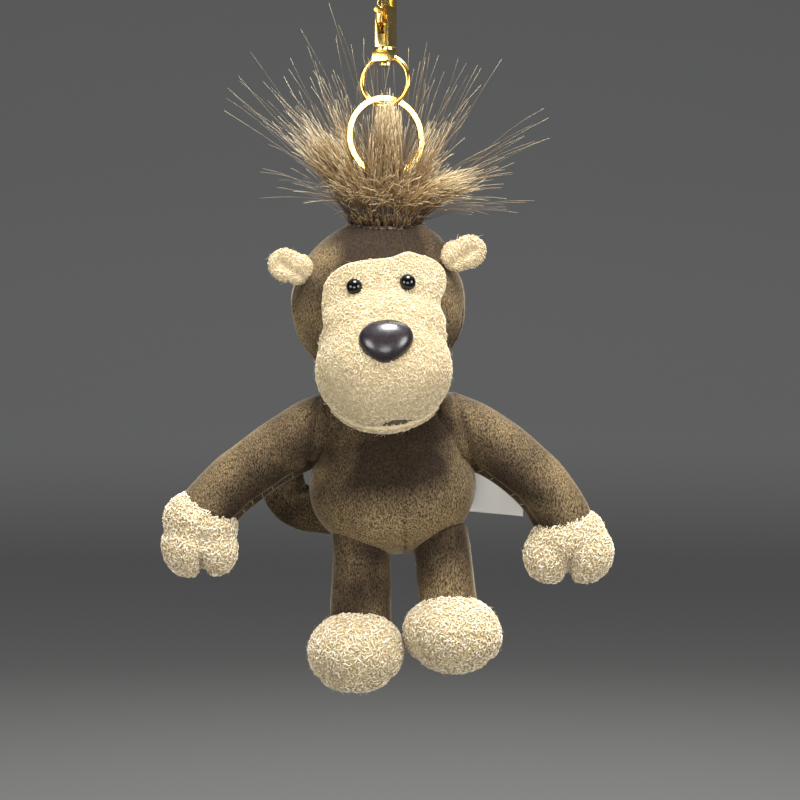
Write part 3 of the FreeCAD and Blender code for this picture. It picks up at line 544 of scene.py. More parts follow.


# Curled fleece: a knitted back covered with short yarn curls. The curls are painted bright where they stand up, as
# light on their tops, and a deeper sand colour where they go down into the knit, as painted shade.
def fleece(name, curls):
    """The curls' finish reads how far each point stands up, for painted shade low down and painted light on top, and
    each curl's own tone; the knit under them is painted darker, as the shade between the curls.
    """
    finish, tree, place = new_finish(name)
    soil = put(tree, "TexNoise", {"Vector": place, "Scale": 130.0, "Detail": 3.0}).outputs["Fac"]
    if curls:
        rise = put(tree, "Attribute", attribute_name="rise").outputs["Fac"]
        own = put(tree, "Attribute", attribute_name="tone").outputs["Fac"]
        # Painted shade low on each curl where it goes into the knit, and painted light on its top.
        depth = put(tree, "ValToRGB", {"Fac": rise}, stops=((0.05, "c2b08b"), (0.55, "e9dcc0"), (0.95, "fdf7ea")))
        worn = put(tree, "Mix", {0: own, 6: "dccfb4", 7: "ffffff"}, data_type="RGBA").outputs[2]
        colour = put(tree, "Mix", {0: 1.0, 6: depth.outputs[0], 7: worn},
                     data_type="RGBA", blend_type="MULTIPLY").outputs[2]
        bumpy = put(tree, "TexNoise", {"Vector": place, "Scale": 6000.0, "Detail": 2.0}).outputs["Fac"]
        relief = put(tree, "Bump", {"Height": bumpy, "Strength": 0.3, "Distance": 0.0001}).outputs[0]
    else:
        # The knit's cream is painted darker than the yarn, as the shade between the curls.
        knit = put(tree, "TexVoronoi", {"Vector": place, "Scale": 900.0}).outputs["Distance"]
        colour = put(tree, "Mix", {0: knit, 6: "d5c6a4", 7: "b5a17a"}, data_type="RGBA").outputs[2]
        relief = put(tree, "Bump", {"Height": knit, "Strength": 0.6, "Distance": 0.0004}, invert=True).outputs[0]
    grey = put(tree, "MapRange", {"Value": soil, 1: 0.35, 2: 0.7, 3: 0.0, 4: 0.22}).outputs[0]
    colour = put(tree, "Mix", {0: grey, 6: colour, 7: "c6b48f"}, data_type="RGBA").outputs[2]
    yarn = put(tree, "BsdfPrincipled", {"Base Color": colour, "Roughness": 0.88, "Specular IOR Level": 0.25,
                                        "Sheen Weight": 0.35, "Sheen Roughness": 0.4, "Sheen Tint": "fff4dc",
                                        "Normal": relief})
    put(tree, "OutputMaterial", {"Surface": yarn.outputs[0]})
    return finish


fleece_knit = fleece("curled_fleece_knit", False)
fleece_curls = fleece("curled_fleece_yarn", True)


def tubes(name, lines, thick, tones, sides=3):
    """Many fine yarns or fibres at once. Lines is one row of points a fibre, thick the radius at each point, both in
    mm. Each fibre has its own strip of the piece's map, and its tone."""
    lines, thick = np.asarray(lines, float), np.asarray(thick, float)
    many, steps = lines.shape[:2]
    run = np.gradient(lines, axis=1)
    run /= np.maximum(np.linalg.norm(run, axis=2, keepdims=True), 1e-9)
    across = np.cross(run[:, 0], np.array([0.31, 0.87, 0.39]))
    across /= np.maximum(np.linalg.norm(across, axis=1, keepdims=True), 1e-9)
    rings = np.empty((many, steps, sides, 3))
    for k in range(steps):
        across = across - (across * run[:, k]).sum(1)[:, None] * run[:, k]
        across /= np.maximum(np.linalg.norm(across, axis=1, keepdims=True), 1e-9)
        third = np.cross(run[:, k], across)
        for s in range(sides):
            turn = 2 * math.pi * s / sides
            rings[:, k, s] = lines[:, k] + thick[:, k, None] * (math.cos(turn) * across + math.sin(turn) * third)
    index = np.arange(many * steps * sides).reshape(many, steps, sides)
    first, then = index[:, :-1], index[:, 1:]
    quads = np.stack([first, np.roll(first, -1, 2), np.roll(then, -1, 2), then], axis=-1)
    ends = np.concatenate([index[:, 0, ::-1], index[:, -1]])
    mesh = bpy.data.meshes.new(name)
    n_quads, n_ends = quads.size // 4, len(ends)
    mesh.vertices.add(rings.size // 3)
    mesh.vertices.foreach_set("co", (rings * MM).astype(np.float32).ravel())
    mesh.loops.add(n_quads * 4 + n_ends * sides)
    mesh.loops.foreach_set("vertex_index", np.concatenate([quads.ravel(), ends.ravel()]).astype(np.int32))
    mesh.polygons.add(n_quads + n_ends)
    starts = np.concatenate([np.arange(n_quads) * 4, n_quads * 4 + np.arange(n_ends) * sides])
    mesh.polygons.foreach_set("loop_start", starts.astype(np.int32))
    cells = math.ceil(math.sqrt(many))
    column, row = np.arange(many) % cells, np.arange(many) // cells
    u0, v0 = (column + 0.08) / cells, (row + 0.08) / cells
    part = 0.84 / cells
    edge = np.arange(sides)
    grid_u = np.stack([edge, edge + 1, edge + 1, edge], -1) / sides
    u = u0[:, None, None, None] + part * np.broadcast_to(grid_u, (many, steps - 1, sides, 4))
    level = np.arange(steps - 1)[:, None, None]
    grid_v = np.concatenate([np.broadcast_to((level + up) / (steps - 1), (steps - 1, sides, 2)) for up in (0, 1)], -1)
    v = v0[:, None, None, None] + part * np.broadcast_to(grid_v, (many, steps - 1, sides, 4))
    round_u = 0.5 + 0.5 * np.cos(2 * math.pi * np.arange(sides) / sides)
    cap_u = np.tile(u0[:, None] + part * 0.12 * round_u, (2, 1))
    cap_v = np.concatenate([np.broadcast_to(v0[:, None], (many, sides)) + 0.02 * part * np.arange(sides),
                            np.broadcast_to(v0[:, None] + part, (many, sides)) - 0.02 * part * np.arange(sides)])
    mapped = np.stack([np.concatenate([u.ravel(), cap_u.ravel()]), np.concatenate([v.ravel(), cap_v.ravel()])], -1)
    mesh.update(calc_edges=True)
    mesh.uv_layers.new(name="OFBake").data.foreach_set("uv", mapped.astype(np.float32).ravel())
    mesh.attributes.new("tone", "FLOAT", "POINT").data.foreach_set(
        "value", np.repeat(np.asarray(tones, np.float32), steps * sides))
    mesh.polygons.foreach_set("use_smooth", np.ones(len(mesh.polygons), bool))
    return mesh


def add_rise(mesh, values, sides=3):
    """Keeps how far each point stands up, or how far along its fibre it is, with the mesh."""
    mesh.attributes.new("rise", "FLOAT", "POINT").data.foreach_set(
        "value", np.repeat(np.asarray(values, np.float32).ravel(), sides))


def scatter(piece, each, apart, seed, keep=None):
    """Points spread evenly over a skin, with its normals: that many a square mm, and no nearer than apart, in mm."""
    mesh = piece.data
    mesh.calc_loop_triangles()
    spots, ways = places(piece)
    spots = spots / MM
    corners = np.empty(len(mesh.loop_triangles) * 3, np.int32)
    mesh.loop_triangles.foreach_get("vertices", corners)
    corners = corners.reshape(-1, 3)
    a, b, c = (spots[corners[:, i]] for i in range(3))
    cross = np.cross(b - a, c - a)
    area = np.linalg.norm(cross, axis=1) / 2
    lot = np.random.default_rng(seed)
    tries = int(area.sum() * each * 2.6)
    pick = lot.choice(len(corners), tries, p=area / area.sum())
    r, s = lot.random(tries), lot.random(tries)
    fold = r + s > 1
    r[fold], s[fold] = 1 - r[fold], 1 - s[fold]
    at = a[pick] + r[:, None] * (b[pick] - a[pick]) + s[:, None] * (c[pick] - a[pick])
    na, nb, nc = (ways[corners[pick, i]] for i in range(3))
    out_way = na * (1 - r - s)[:, None] + nb * r[:, None] + nc * s[:, None]
    out_way /= np.maximum(np.linalg.norm(out_way, axis=1, keepdims=True), 1e-9)
    if keep is not None:
        good = keep(at, out_way)
        at, out_way = at[good], out_way[good]
    taken, chosen = {}, []
    limit = int(area.sum() * each)
    for i, p in enumerate(at):
        cell = (int(p[0] // apart), int(p[1] // apart), int(p[2] // apart))
        near = False
        for dx in (-1, 0, 1):
            for dy in (-1, 0, 1):
                for dz in (-1, 0, 1):
                    for q in taken.get((cell[0] + dx, cell[1] + dy, cell[2] + dz), ()):
                        if (p[0] - q[0]) ** 2 + (p[1] - q[1]) ** 2 + (p[2] - q[2]) ** 2 < apart * apart:
                            near = True
        if not near:
            taken.setdefault(cell, []).append(p)
            chosen.append(i)
            if len(chosen) >= limit:
                break
    return at[chosen], out_way[chosen]


def curl_coat(name, skin, body, seed, each=1.9, apart=0.50, keep=None, stray=0.03, size=1.05):
    """Covers a skin with yarn curls, each a bent thread that rises from the knit, curls over and goes back into it.
    A few have come loose and stand out as single fine hairs."""
    at, up = scatter(skin, each, apart, seed, keep)
    lot = np.random.default_rng(seed + 1)
    many, steps = len(at), 5
    loose = lot.random(many) < stray
    side = np.cross(up, lot.normal(size=(many, 3)))
    side /= np.maximum(np.linalg.norm(side, axis=1, keepdims=True), 1e-9)
    other = np.cross(up, side)
    s = np.linspace(0, 1, steps)
    long = np.where(loose, lot.uniform(2.5, 5.0, many), lot.uniform(1.6, 2.6, many) * size)
    turn = np.where(loose, lot.uniform(-1.5, 1.5, many), lot.choice([-1, 1], many) * lot.uniform(1.6, 4.2, many))
    heading = turn[:, None] * (s - 0.5)
    dx, dy = np.cos(heading) * long[:, None] / (steps - 1), np.sin(heading) * long[:, None] / (steps - 1)
    x, y = np.cumsum(dx, 1), np.cumsum(dy, 1)
    x, y = x - x.mean(1, keepdims=True), y - y.mean(1, keepdims=True)
    top = np.where(loose, lot.uniform(0.8, 1.6, many), lot.uniform(0.30, 0.68, many) * size)
    bow = np.sin(math.pi * s) ** 0.8
    height = -0.12 + np.where(loose[:, None], s[None] ** 1.2 * top[:, None], bow[None] * top[:, None])
    lines = at[:, None] + x[..., None] * side[:, None] + y[..., None] * other[:, None] + height[..., None] * up[:, None]
    body_thick = lot.uniform(0.17, 0.235, many)[:, None] * size * (0.55 + 0.45 * bow[None])
    thick = np.where(loose[:, None], 0.055 * (1.1 - 0.8 * s[None]), body_thick)
    coat = tubes(name, lines, thick, lot.random(many))
    add_rise(coat, np.where(loose[:, None], 0.8, np.clip(height / 0.6, 0, 1)))
    return dress(new_piece(name, coat), fleece_curls, body, "cream_boucle")


for piece, node in ((face, "face_panel"), (lip, "chin_panel")):
    smooth(piece)
    dress(piece, fleece_knit, "head", "cream_boucle", node)

nose_spot = np.array([0.6 + toy_side, -29.4 + toy_back, -109.4])
eye_spots = {"left": np.array([7.1 + toy_side, -19.0 + toy_back, -92.2]),
             "right": np.array([-8.5 + toy_side, -19.0 + toy_back, -93.5])}


def outer_face(at, up):
    """Curls grow on the panel's outer side only, and not under the nose or the eyes."""
    from_head = at - np.array([head_spot[0], 2.0, -104.0])
    outward = (from_head * up).sum(1) > 0
    clear = outward & (np.hypot((at[:, 0] - nose_spot[0]) / 7.6, (at[:, 2] - nose_spot[2]) / 5.8) > 0.86)
    for spot in eye_spots.values():
        clear &= np.hypot(at[:, 0] - spot[0], at[:, 2] - spot[2]) > 2.35
    clear &= upper_edge(at * MM) < -0.45
    return clear


def outer_lip(at, up):
    """Curls grow on the lip's outer side only, short of its rim."""
    from_muzzle = at - np.array([0, -14.0, -118.0])
    return ((from_muzzle * up).sum(1) > 0) & (lip_edge(at * MM) < -0.3)


curl_coat("face_curls", face, "head", seed=11, each=2.4, apart=0.44, keep=outer_face, size=0.84)
curl_coat("lip_curls", lip, "head", seed=12, each=2.4, apart=0.44, keep=outer_lip, size=0.84)

# ---- The eyes and the nose ----
# Moulded safety eyes and a safety nose, in black and in dark plum plastic, polished like glass. Each has a ribbed
# shank through the cloth and a plain disc washer behind it.
polished_black, tree, place = new_finish("polished_black_plastic")
smear = put(tree, "TexNoise", {"Vector": place, "Scale": 700.0, "Detail": 4.0}).outputs["Fac"]
rough = put(tree, "MapRange", {"Value": smear, 1: 0.35, 2: 0.7, 3: 0.03, 4: 0.10}).outputs[0]
shade = put(tree, "Mix", {0: smear, 6: "020202", 7: "0a0908"}, data_type="RGBA").outputs[2]
gloss = put(tree, "BsdfPrincipled", {"Base Color": shade, "Roughness": rough, "IOR": 1.46})
put(tree, "OutputMaterial", {"Surface": gloss.outputs[0]})
eye_rad, shank_rad, shank_long, shank_back = 2.4, 0.8, 4.6, 2.9
for side, spot in eye_spots.items():
    bpy.ops.mesh.primitive_uv_sphere_add(segments=48, ring_count=32, radius=eye_rad * MM, location=spot * MM,
                                         scale=(1, 0.92, 1))
    eye = bpy.context.object
    bpy.ops.mesh.primitive_cylinder_add(vertices=24, radius=shank_rad * MM, depth=shank_long * MM,
                                        location=(spot + (0, shank_back, 0)) * MM, rotation=(math.radians(90), 0, 0))
    eye.select_set(True)
    bpy.context.view_layer.objects.active = eye
    bpy.ops.object.join()
    bpy.ops.object.transform_apply(location=True, rotation=True, scale=True)
    smooth(eye, 50)
    eye.name = "eye_%s_button" % side
    dress(eye, polished_black, "head", "eye_gloss", "eye_" + side)

plum_gloss, tree, place = new_finish("polished_plum_plastic")
dust = put(tree, "TexNoise", {"Vector": place, "Scale": 520.0, "Detail": 6.0, "Roughness": 0.7}).outputs["Fac"]
swirl = put(tree, "TexNoise", {"Vector": place, "Scale": 150.0, "Detail": 2.0}).outputs["Fac"]
shade = put(tree, "Mix", {0: swirl, 6: "131012", 7: "2c2529"}, data_type="RGBA").outputs[2]
rough = put(tree, "MapRange", {"Value": dust, 1: 0.4, 2: 0.65, 3: 0.24, 4: 0.36}).outputs[0]
orange_peel = put(tree, "Bump", {"Height": dust, "Strength": 0.05, "Distance": 0.0003}).outputs[0]
moulded = put(tree, "BsdfPrincipled", {"Base Color": shade, "Roughness": rough, "IOR": 1.5, "Coat Weight": 0.3,
                                       "Coat Roughness": 0.2, "Normal": orange_peel})
put(tree, "OutputMaterial", {"Surface": moulded.outputs[0]})

bpy.ops.mesh.primitive_uv_sphere_add(segments=64, ring_count=40, radius=1, rotation=(math.radians(90), 0, 0))
nose = bpy.context.object
nose.name = "nose_button"
bpy.ops.object.transform_apply(location=True, rotation=True, scale=True)
spots, _ = places(nose)
u, depth, w = spots[:, 0], spots[:, 1], spots[:, 2]
narrow = 1 - 0.22 * np.clip(-w, 0, 1) ** 1.3
plump = 1 + 0.10 * np.clip(w, 0, 1) * np.abs(u)
x = 7.9 * u * narrow * plump
z = np.where(w > 0, 6.1 * w * (1 + 0.06 * u ** 2), 7.1 * w) + 0.35 * u
y = np.where(depth < 0, -5.0 * np.abs(depth) ** 0.78, 2.2 * np.abs(depth) ** 0.7)
tilt = math.radians(-17)
spun = np.stack([x, y * math.cos(tilt) - z * math.sin(tilt), y * math.sin(tilt) + z * math.cos(tilt)], 1)
move_to(nose, (spun + nose_spot + (0.2, -0.6, -0.2)) * MM)
bpy.ops.object.shade_smooth()
dress(nose, plum_gloss, "head", "nose_gloss", "nose")

# Washers: natural white polypropylene discs, slightly rough from the mould.
moulded_white, tree, place = new_finish("moulded_white_polypropylene")
flow = put(tree, "TexNoise", {"Vector": place, "Scale": 600.0, "Detail": 3.0}).outputs["Fac"]
shade = put(tree, "Mix", {0: flow, 6: "cfccc3", 7: "e2e0da"}, data_type="RGBA").outputs[2]
disc = put(tree, "BsdfPrincipled", {"Base Color": shade, "Roughness": 0.48, "IOR": 1.49})
put(tree, "OutputMaterial", {"Surface": disc.outputs[0]})
for node in ("eye_washer_left", "eye_washer_right", "nose_washer"):
    paint(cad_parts[node], moulded_white)

# ---- The ears ----
# Two discs of curled fleece sewn face to face and turned, with no stuffing, and pinched once where they meet the head.
for side, spot, inner, roll in (("left", (24.9, -8.1 + toy_back, -82.6), -1, -22),
                                ("right", (-29.4, -8.1 + toy_back, -86.6), 1, 18)):
    ear = run_together("ear_" + side + "_form", [
        (spot, (5.2, 2.6, 4.9), roll),
        (np.array(spot) + (inner * 3.6, 0.4, -1.2), (4.6, 2.9, 4.6), 0)], cell=0.55, relax=7)
    spots, ways = places(ear)
    local = spots / MM - np.array(spot)
    cup = 0.55 * np.exp(-((local[:, 0] - inner * 0.6) ** 2 + (local[:, 2] - 0.3) ** 2) / 13.0)
    bend = 0.028 * (local[:, 0] ** 2 + local[:, 2] ** 2) * -0.9
    spots[:, 1] += (cup * np.where(ways[:, 1] < 0, 1, 0.45) + bend) * MM
    move_to(ear, spots)
    press_line(ear, [(spot[0] + inner * 6.5, spot[2] - 4.6), (spot[0] + inner * 2.0, spot[2] - 1.6),
                     (spot[0] - inner * 1.6, spot[2] + 0.6)], depth=0.8, wide=1.3, front=(0, -1, 0))
    back = split_by(ear, spot, (0, 1, 0), "ear_" + side + "_back_cloth")
    ear.name = "ear_" + side + "_front_cloth"
    end = np.array(spot) + (inner * 3.4, 0, 0)
    for cloth, layer in ((ear, "front"), (back, "back")):
        smooth(cloth)
        facing = -1 if layer == "front" else 1
        curls = curl_coat("ear_%s_%s_curls" % (side, layer), cloth, None, seed=20 + facing + len(side), each=2.8,
                          apart=0.40, size=0.7, keep=lambda at, up: (
                              (up[:, 1] * facing > 0.05) | (np.abs(at[:, 1] - spot[1]) > 0.25)))
        dress(cloth, fleece_knit, None, "cream_boucle", "ear_%s_%s" % (side, layer))
        for part in (cloth, curls):
            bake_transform(part)

# ---- The hair ----
# A tuft of long faux fur, knitted into a small backing that is caught in the crown. Its fibres are painted near-black
# at the root, as the shade deep in the tuft, dull tan along their length and silvery at the tips, and lie in locks with
# loose fibres all round.
long_pile, tree, _ = new_finish("long_acrylic_pile")
along = put(tree, "Attribute", attribute_name="rise").outputs["Fac"]
own = put(tree, "Attribute", attribute_name="tone").outputs["Fac"]
# Along each fibre: painted shade at the root, then its tan length and silvery tips.
painted_root_shade_and_length_tone = put(tree, "ValToRGB", {"Fac": along}, stops=(
    (0.0, "140c05"), (0.14, "3a2812"), (0.40, "84693f"), (0.74, "ab946a"), (1.0, "efe6cc")))
dyed = put(tree, "Mix", {0: own, 6: "a58f6c", 7: "fff6e2"}, data_type="RGBA").outputs[2]
colour = put(tree, "Mix", {0: 1.0, 6: painted_root_shade_and_length_tone.outputs[0], 7: dyed},
             data_type="RGBA", blend_type="MULTIPLY").outputs[2]
acrylic = put(tree, "BsdfPrincipled", {"Base Color": colour, "Roughness": 0.38, "IOR": 1.5, "Specular IOR Level": 0.6})
put(tree, "OutputMaterial", {"Surface": acrylic.outputs[0]})

locks = (
    # tip (x, y, z), spread of the tips, fibres, reach of the roots, thickness at the root and at the tip
    ((0.8, -3.0, -42.5), (3.4, 3.5, 5.0), 1400, (-7.5, 7.5), 0.17, 0.05),
    ((0.0, -1.0, -60.5), (8.0, 5.0, 5.0), 700, (-11.0, 11.0), 0.17, 0.05),
    ((-22.0, -2.0, -49.0), (5.0, 4.0, 6.0), 650, (-12.6, -4.0), 0.17, 0.05),
    ((-13.0, -3.0, -53.0), (5.0, 4.0, 5.0), 600, (-12.6, 0.0), 0.17, 0.05),
    ((-13.0, 2.0, -43.0), (5.0, 5.0, 7.0), 260, (-12.0, -2.0), 0.11, 0.04),
    ((20.0, -2.0, -61.0), (7.0, 4.0, 4.0), 950, (1.0, 12.3), 0.17, 0.05),
    ((30.0, -1.0, -60.0), (7.0, 4.0, 5.0), 90, (3.0, 12.3), 0.10, 0.04),
    ((15.0, 3.0, -48.0), (6.0, 5.0, 8.0), 260, (-1.0, 12.0), 0.11, 0.04),
    ((0.0, 9.0, -58.0), (10.0, 4.0, 5.0), 900, (-12.3, 12.3), 0.17, 0.05),
    ((-1.0, -3.0, -63.5), (17.0, 14.0, 5.0), 900, (-12.6, 12.6), 0.15, 0.05),
    ((-44.0, 0.0, -36.0), (7.0, 6.0, 7.0), 18, (-13.0, -3.0), 0.05, 0.028),
    ((-34.0, 0.0, -32.0), (7.0, 6.0, 9.0), 42, (-12.0, 0.0), 0.05, 0.028),
    ((-22.0, 1.0, -24.0), (7.0, 6.0, 9.0), 42, (-12.0, 4.0), 0.05, 0.028),
    ((-6.0, 1.0, -20.0), (9.0, 6.0, 9.0), 35, (-10.0, 6.0), 0.05, 0.028),
    ((13.0, 1.0, -24.0), (7.0, 6.0, 10.0), 35, (-4.0, 10.0), 0.05, 0.028),
    ((25.0, 0.0, -34.0), (7.0, 6.0, 9.0), 28, (0.0, 12.0), 0.05, 0.028),
    ((42.0, 0.0, -50.0), (6.0, 6.0, 8.0), 28, (2.0, 12.0), 0.05, 0.028),
    ((44.0, 0.0, -66.0), (6.0, 6.0, 4.0), 16, (4.0, 12.3), 0.05, 0.028),
    ((-36.0, 0.0, -56.0), (7.0, 6.0, 8.0), 18, (-13.0, -4.0), 0.05, 0.028))
lot = np.random.default_rng(5)
fur = {"front": [], "rear": []}
steps = 9


def set_down(root):
    """Sets fibre roots down on the crown, a tenth of a millimetre above its skin."""
    for point in root:
        point[2] = crown_skin.ray_cast(Vector((point[0], point[1], 0)), Vector((0, 0, -1)))[0].z + 0.1


def share_out(line, thick, in_front, brightest):
    """Gives fibres to the front and the rear tuft, each with a tone of its own up to the brightest."""
    for side, mine in (("front", in_front), ("rear", ~in_front)):
        fur[side].append((line[mine], thick[mine], lot.random(int(mine.sum())) * brightest))


s = np.linspace(0, 1, steps)[None, :, None]
for tip, spread, fibres, reach, root_thick, tip_thick in locks:
    x0 = lot.uniform(reach[0], reach[1], fibres) * 0.82
    y0 = lot.uniform(-1, 1, fibres) * 10.2 * np.sqrt(np.clip(1 - (x0 / 10.8) ** 2, 0.04, 1))
    root = np.stack([crown[0] + x0, crown[1] + y0, np.full(fibres, crown[2])], 1)
    set_down(root)
    scattered = lot.normal(size=(fibres, 3)) * np.array(spread) * 0.5
    share = lot.uniform(0.45, 1.12, fibres)[:, None]
    clump = (x0 - (reach[0] + reach[1]) * 0.41)[:, None] * np.array([0.22, 0, 0]) + y0[:, None] * np.array([0, 0.35, 0])
    end = root + (np.array(tip) + scattered + clump - root) * share
    rise = np.array([0, 0, 1.0]) * lot.uniform(2.5, 5.5, fibres)[:, None]
    wave = lot.normal(size=(fibres, 3)) * 0.28
    sway = lot.normal(size=(fibres, 3)) * 0.7
    line = (root[:, None] + (end - root)[:, None] * s + (rise[:, None] * 4 * s * (1 - s)) * 0.55
            + wave[:, None] * np.sin(math.pi * 2 * s) + sway[:, None] * s * s)
    thick = (root_thick * (1 - s[0, :, 0]) + tip_thick * s[0, :, 0])[None] * lot.uniform(0.75, 1.2, fibres)[:, None]
    share_out(line, thick, y0 < 0, 1.0)
fringe = 700
turn, out_by = lot.uniform(0, 2 * math.pi, fringe), lot.uniform(8.6, 10.9, fringe)
way = np.stack([np.cos(turn), np.sin(turn), np.zeros(fringe)], 1)
root = crown + way * out_by[:, None]
set_down(root)
reach = lot.uniform(1.4, 3.4, fringe)[:, None, None]
line = (root[:, None] + way[:, None] * reach * (0.25 * s + 0.45 * s * s)
        + np.array([0, 0, 1.0]) * reach * (1.3 * s - 0.3 * s * s) + lot.normal(size=(fringe, 3))[:, None] * 0.8 * s)
thick = np.broadcast_to(0.15 - 0.1 * s[0, :, 0], (fringe, steps))
share_out(line, thick, way[:, 1] < 0, 0.3)
for side, parts in fur.items():
    lines, thick, tones = (np.concatenate(rows) for rows in zip(*parts))
    mesh = tubes("hair_%s_fibres" % side, lines, thick, tones)
    add_rise(mesh, np.broadcast_to(np.linspace(0, 1, steps), thick.shape))
    dress(new_piece(mesh.name, mesh), long_pile, "head", "long_pile", "hair_tuft_" + side)

# ---- The torso ----
# A pear-shaped velour body in three panels, two in front that meet in a stitched belly seam and one behind,
# stuffed full. Its neck goes up under the head and is sewn to it.
torso_form = run_together("torso_form", [
    ((2.4 + toy_side, 2.0 + toy_back, -152.6), (25.4, 18.6, 20.8), 0),
    ((2.0 + toy_side, 4.0 + toy_back, -142.5), (24.6, 15.5, 19.0), 0),
    ((1.8 + toy_side, 5.0 + toy_back, -131.0), (19.5, 12.0, 12.0), 0)], cell=1.2, relax=12)
lumps(torso_form, size=14, height=0.7, seed=8)
finer(torso_form, 1)
stuff(torso_form, "torso_fibre_fill", inset=1.6, body="torso", node="torso_stuffing", share=0.35, top=-128.5)
belly_seam = 6.6 + toy_side
flank = 3.0 + toy_back
armholes = {"left": [(21.0, -123), (22.6, -133), (26.8, -146)],
            "right": [(-19.8, -123), (-20.8, -134), (-22.8, -146.5)]}
creases = (  # line, depth and width: the belly seam, three folds and the armholes
    ([(belly_seam - 0.4, -120), (belly_seam, -150), (belly_seam - 0.4, -176)], 0.45, 0.55),
    ([(-22.5, -129.5), (-17, -134), (-10.5, -137.5)], 0.5, 1.6),
    ([(-22.5, -143), (-16, -147.5), (-9.5, -150.6)], 1.0, 1.5),
    ([(24, -143), (17, -149), (13, -156)], 0.5, 2.2),
    (armholes["left"], 1.3, 0.9), (armholes["right"], 1.3, 0.9))
for line, depth, wide in creases:
    press_line(torso_form, line, depth, wide, front=(0, -1, 0))
spots, ways = places(torso_form)
near_flank = np.exp(-((spots[:, 1] / MM - flank) / 0.6) ** 2)
move_to(torso_form, spots - ways * near_flank[:, None] * 0.45 * MM)


def stitches(name, skin, line, count, long, finish):
    """Short thread stitches across a seam on a skin's front, evenly spaced along a line of x and z in mm."""
    cloth = ray_skin(skin)
    ends = np.array(line, float)
    run = np.concatenate([[0], np.cumsum(np.linalg.norm(np.diff(ends, axis=0), axis=1))])
    threads = []
    for at in np.linspace(0, run[-1], count):
        x, z = np.interp(at, run, ends[:, 0]), np.interp(at, run, ends[:, 1])
        k = min(int(np.searchsorted(run, at, side="right")) - 1, len(ends) - 2)
        across = np.array([ends[k + 1][1] - ends[k][1], 0, ends[k][0] - ends[k + 1][0]])
        across = across / np.linalg.norm(across)
        lean = np.array([across[2], 0, -across[0]]) * 0.5
        row = []
        for step in np.linspace(-0.5, 0.5, 5):
            p = np.array([x, -70, z]) + (across + lean) * step * long
            hit = cloth.ray_cast(Vector(p), Vector((0, 1, 0)))[0]
            if hit:
                row.append(np.array(hit) + (0, 0.12 - 0.34 * math.cos(math.pi * step), 0))
        if len(row) == 5:
            threads.append(row)
    mesh = tubes(name, threads, np.full((len(threads), 5), 0.13), np.full(len(threads), 0.5), 6)
    return dress(new_piece(name, mesh), finish, None, "brown_velour")


# Sewing thread: matt spun polyester, a dark brown one for the belly and a tan one for the sleeves.
threads = {}
for name, dark, pale in (("dark_spun_thread", "1c130b", "33261a"), ("tan_spun_thread", "7a684a", "a08c68")):
    finish, tree, place = new_finish(name)
    twist = put(tree, "TexNoise", {"Vector": place, "Scale": 4000.0}).outputs["Fac"]
    shade = put(tree, "Mix", {0: twist, 6: dark, 7: pale}, data_type="RGBA").outputs[2]
    cord = put(tree, "BsdfPrincipled", {"Base Color": shade, "Roughness": 0.8})
    put(tree, "OutputMaterial", {"Surface": cord.outputs[0]})
    threads[name] = finish
sewn = stitches("belly_seam_stitches", torso_form, [(belly_seam, -157), (belly_seam - 0.2, -172.5)],
                count=9, long=1.3, finish=threads["dark_spun_thread"])
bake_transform(sewn)
# The lower belly and its sides are painted lighter, partly brushed pile and partly painted light; the chest under the
# chin is painted darker, as the head's shadow.
brush_and_paint_light(torso_form, (3, -168, 14, 1.1), (-16, -165, 10, 0.6), (21, -162, 10, 0.6), (2, -143, 14, -0.4))
torso_back = split_by(torso_form, (0, flank, 0), (0, 1, 0), "torso_back_velour")
torso_form.name = "torso_front_right_velour"
torso_left = split_by(torso_form, (belly_seam, 0, -150), (1, 0, 0), "torso_front_left_velour")
for piece, node in ((torso_form, "torso_front_right"), (torso_left, "torso_front_left"), (torso_back, "torso_back")):
    smooth(piece, 60)
    dress(piece, brown_velour, None, "brown_velour", node)
    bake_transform(piece)

# ---- The side label ----
# A strip of white satin tape folded in half and caught in the flank seam. It is left blank.
satin_tape, tree, place = new_finish("woven_satin_tape")
warp = put(tree, "TexWave", {"Vector": place, "Scale": 900.0, "Distortion": 0.3}, bands_direction="X").outputs["Fac"]
weft = put(tree, "TexWave", {"Vector": place, "Scale": 900.0, "Distortion": 0.3}, bands_direction="Z").outputs["Fac"]
weave = put(tree, "Mix", {0: 0.35, 2: warp, 3: weft}).outputs[0]
shade = put(tree, "Mix", {0: weave, 6: "efebe2", 7: "faf8f3"}, data_type="RGBA").outputs[2]
relief = put(tree, "Bump", {"Height": weave, "Strength": 0.25, "Distance": 0.00008}).outputs[0]
satin = put(tree, "BsdfPrincipled", {"Base Color": shade, "Roughness": 0.42, "Sheen Weight": 0.2, "Normal": relief})
put(tree, "OutputMaterial", {"Surface": satin.outputs[0]})
label_y, tape_half, tape_thick = 14.0 + toy_back, 6.3, 0.15
fold_path = [(21.4, -0.16), (27, -0.18), (33, -0.24), (39, -0.24), (41.6, -0.20), (42.5, 0.0), (41.6, 0.20),
             (39, 0.24), (33, 0.24), (27, 0.18), (21.4, 0.16)]
bpy.ops.mesh.primitive_plane_add(size=1)
label = bpy.context.object
label.name = "side_label_tape"
mesh = bmesh.new()
rows = []
for x, y in fold_path:
    lie = label_y + y + 0.35 * math.sin((x - 21) / 7.0) - 0.02 * (x - 21)
    rows.append([mesh.verts.new(shape_up((x, lie, -154.0 + tape_half * t - 0.03 * (x - 21) * 3)))
                 for t in np.linspace(-1, 1, 9)])
for a, b in zip(rows, rows[1:]):
    for i in range(8):
        mesh.faces.new((a[i], a[i + 1], b[i + 1], b[i]))
mesh.normal_update()
mesh.to_mesh(label.data)
mesh.free()
finer(label, 2)
wall = label.modifiers.new("tape", "SOLIDIFY")
wall.thickness, wall.offset = tape_thick * MM, 0
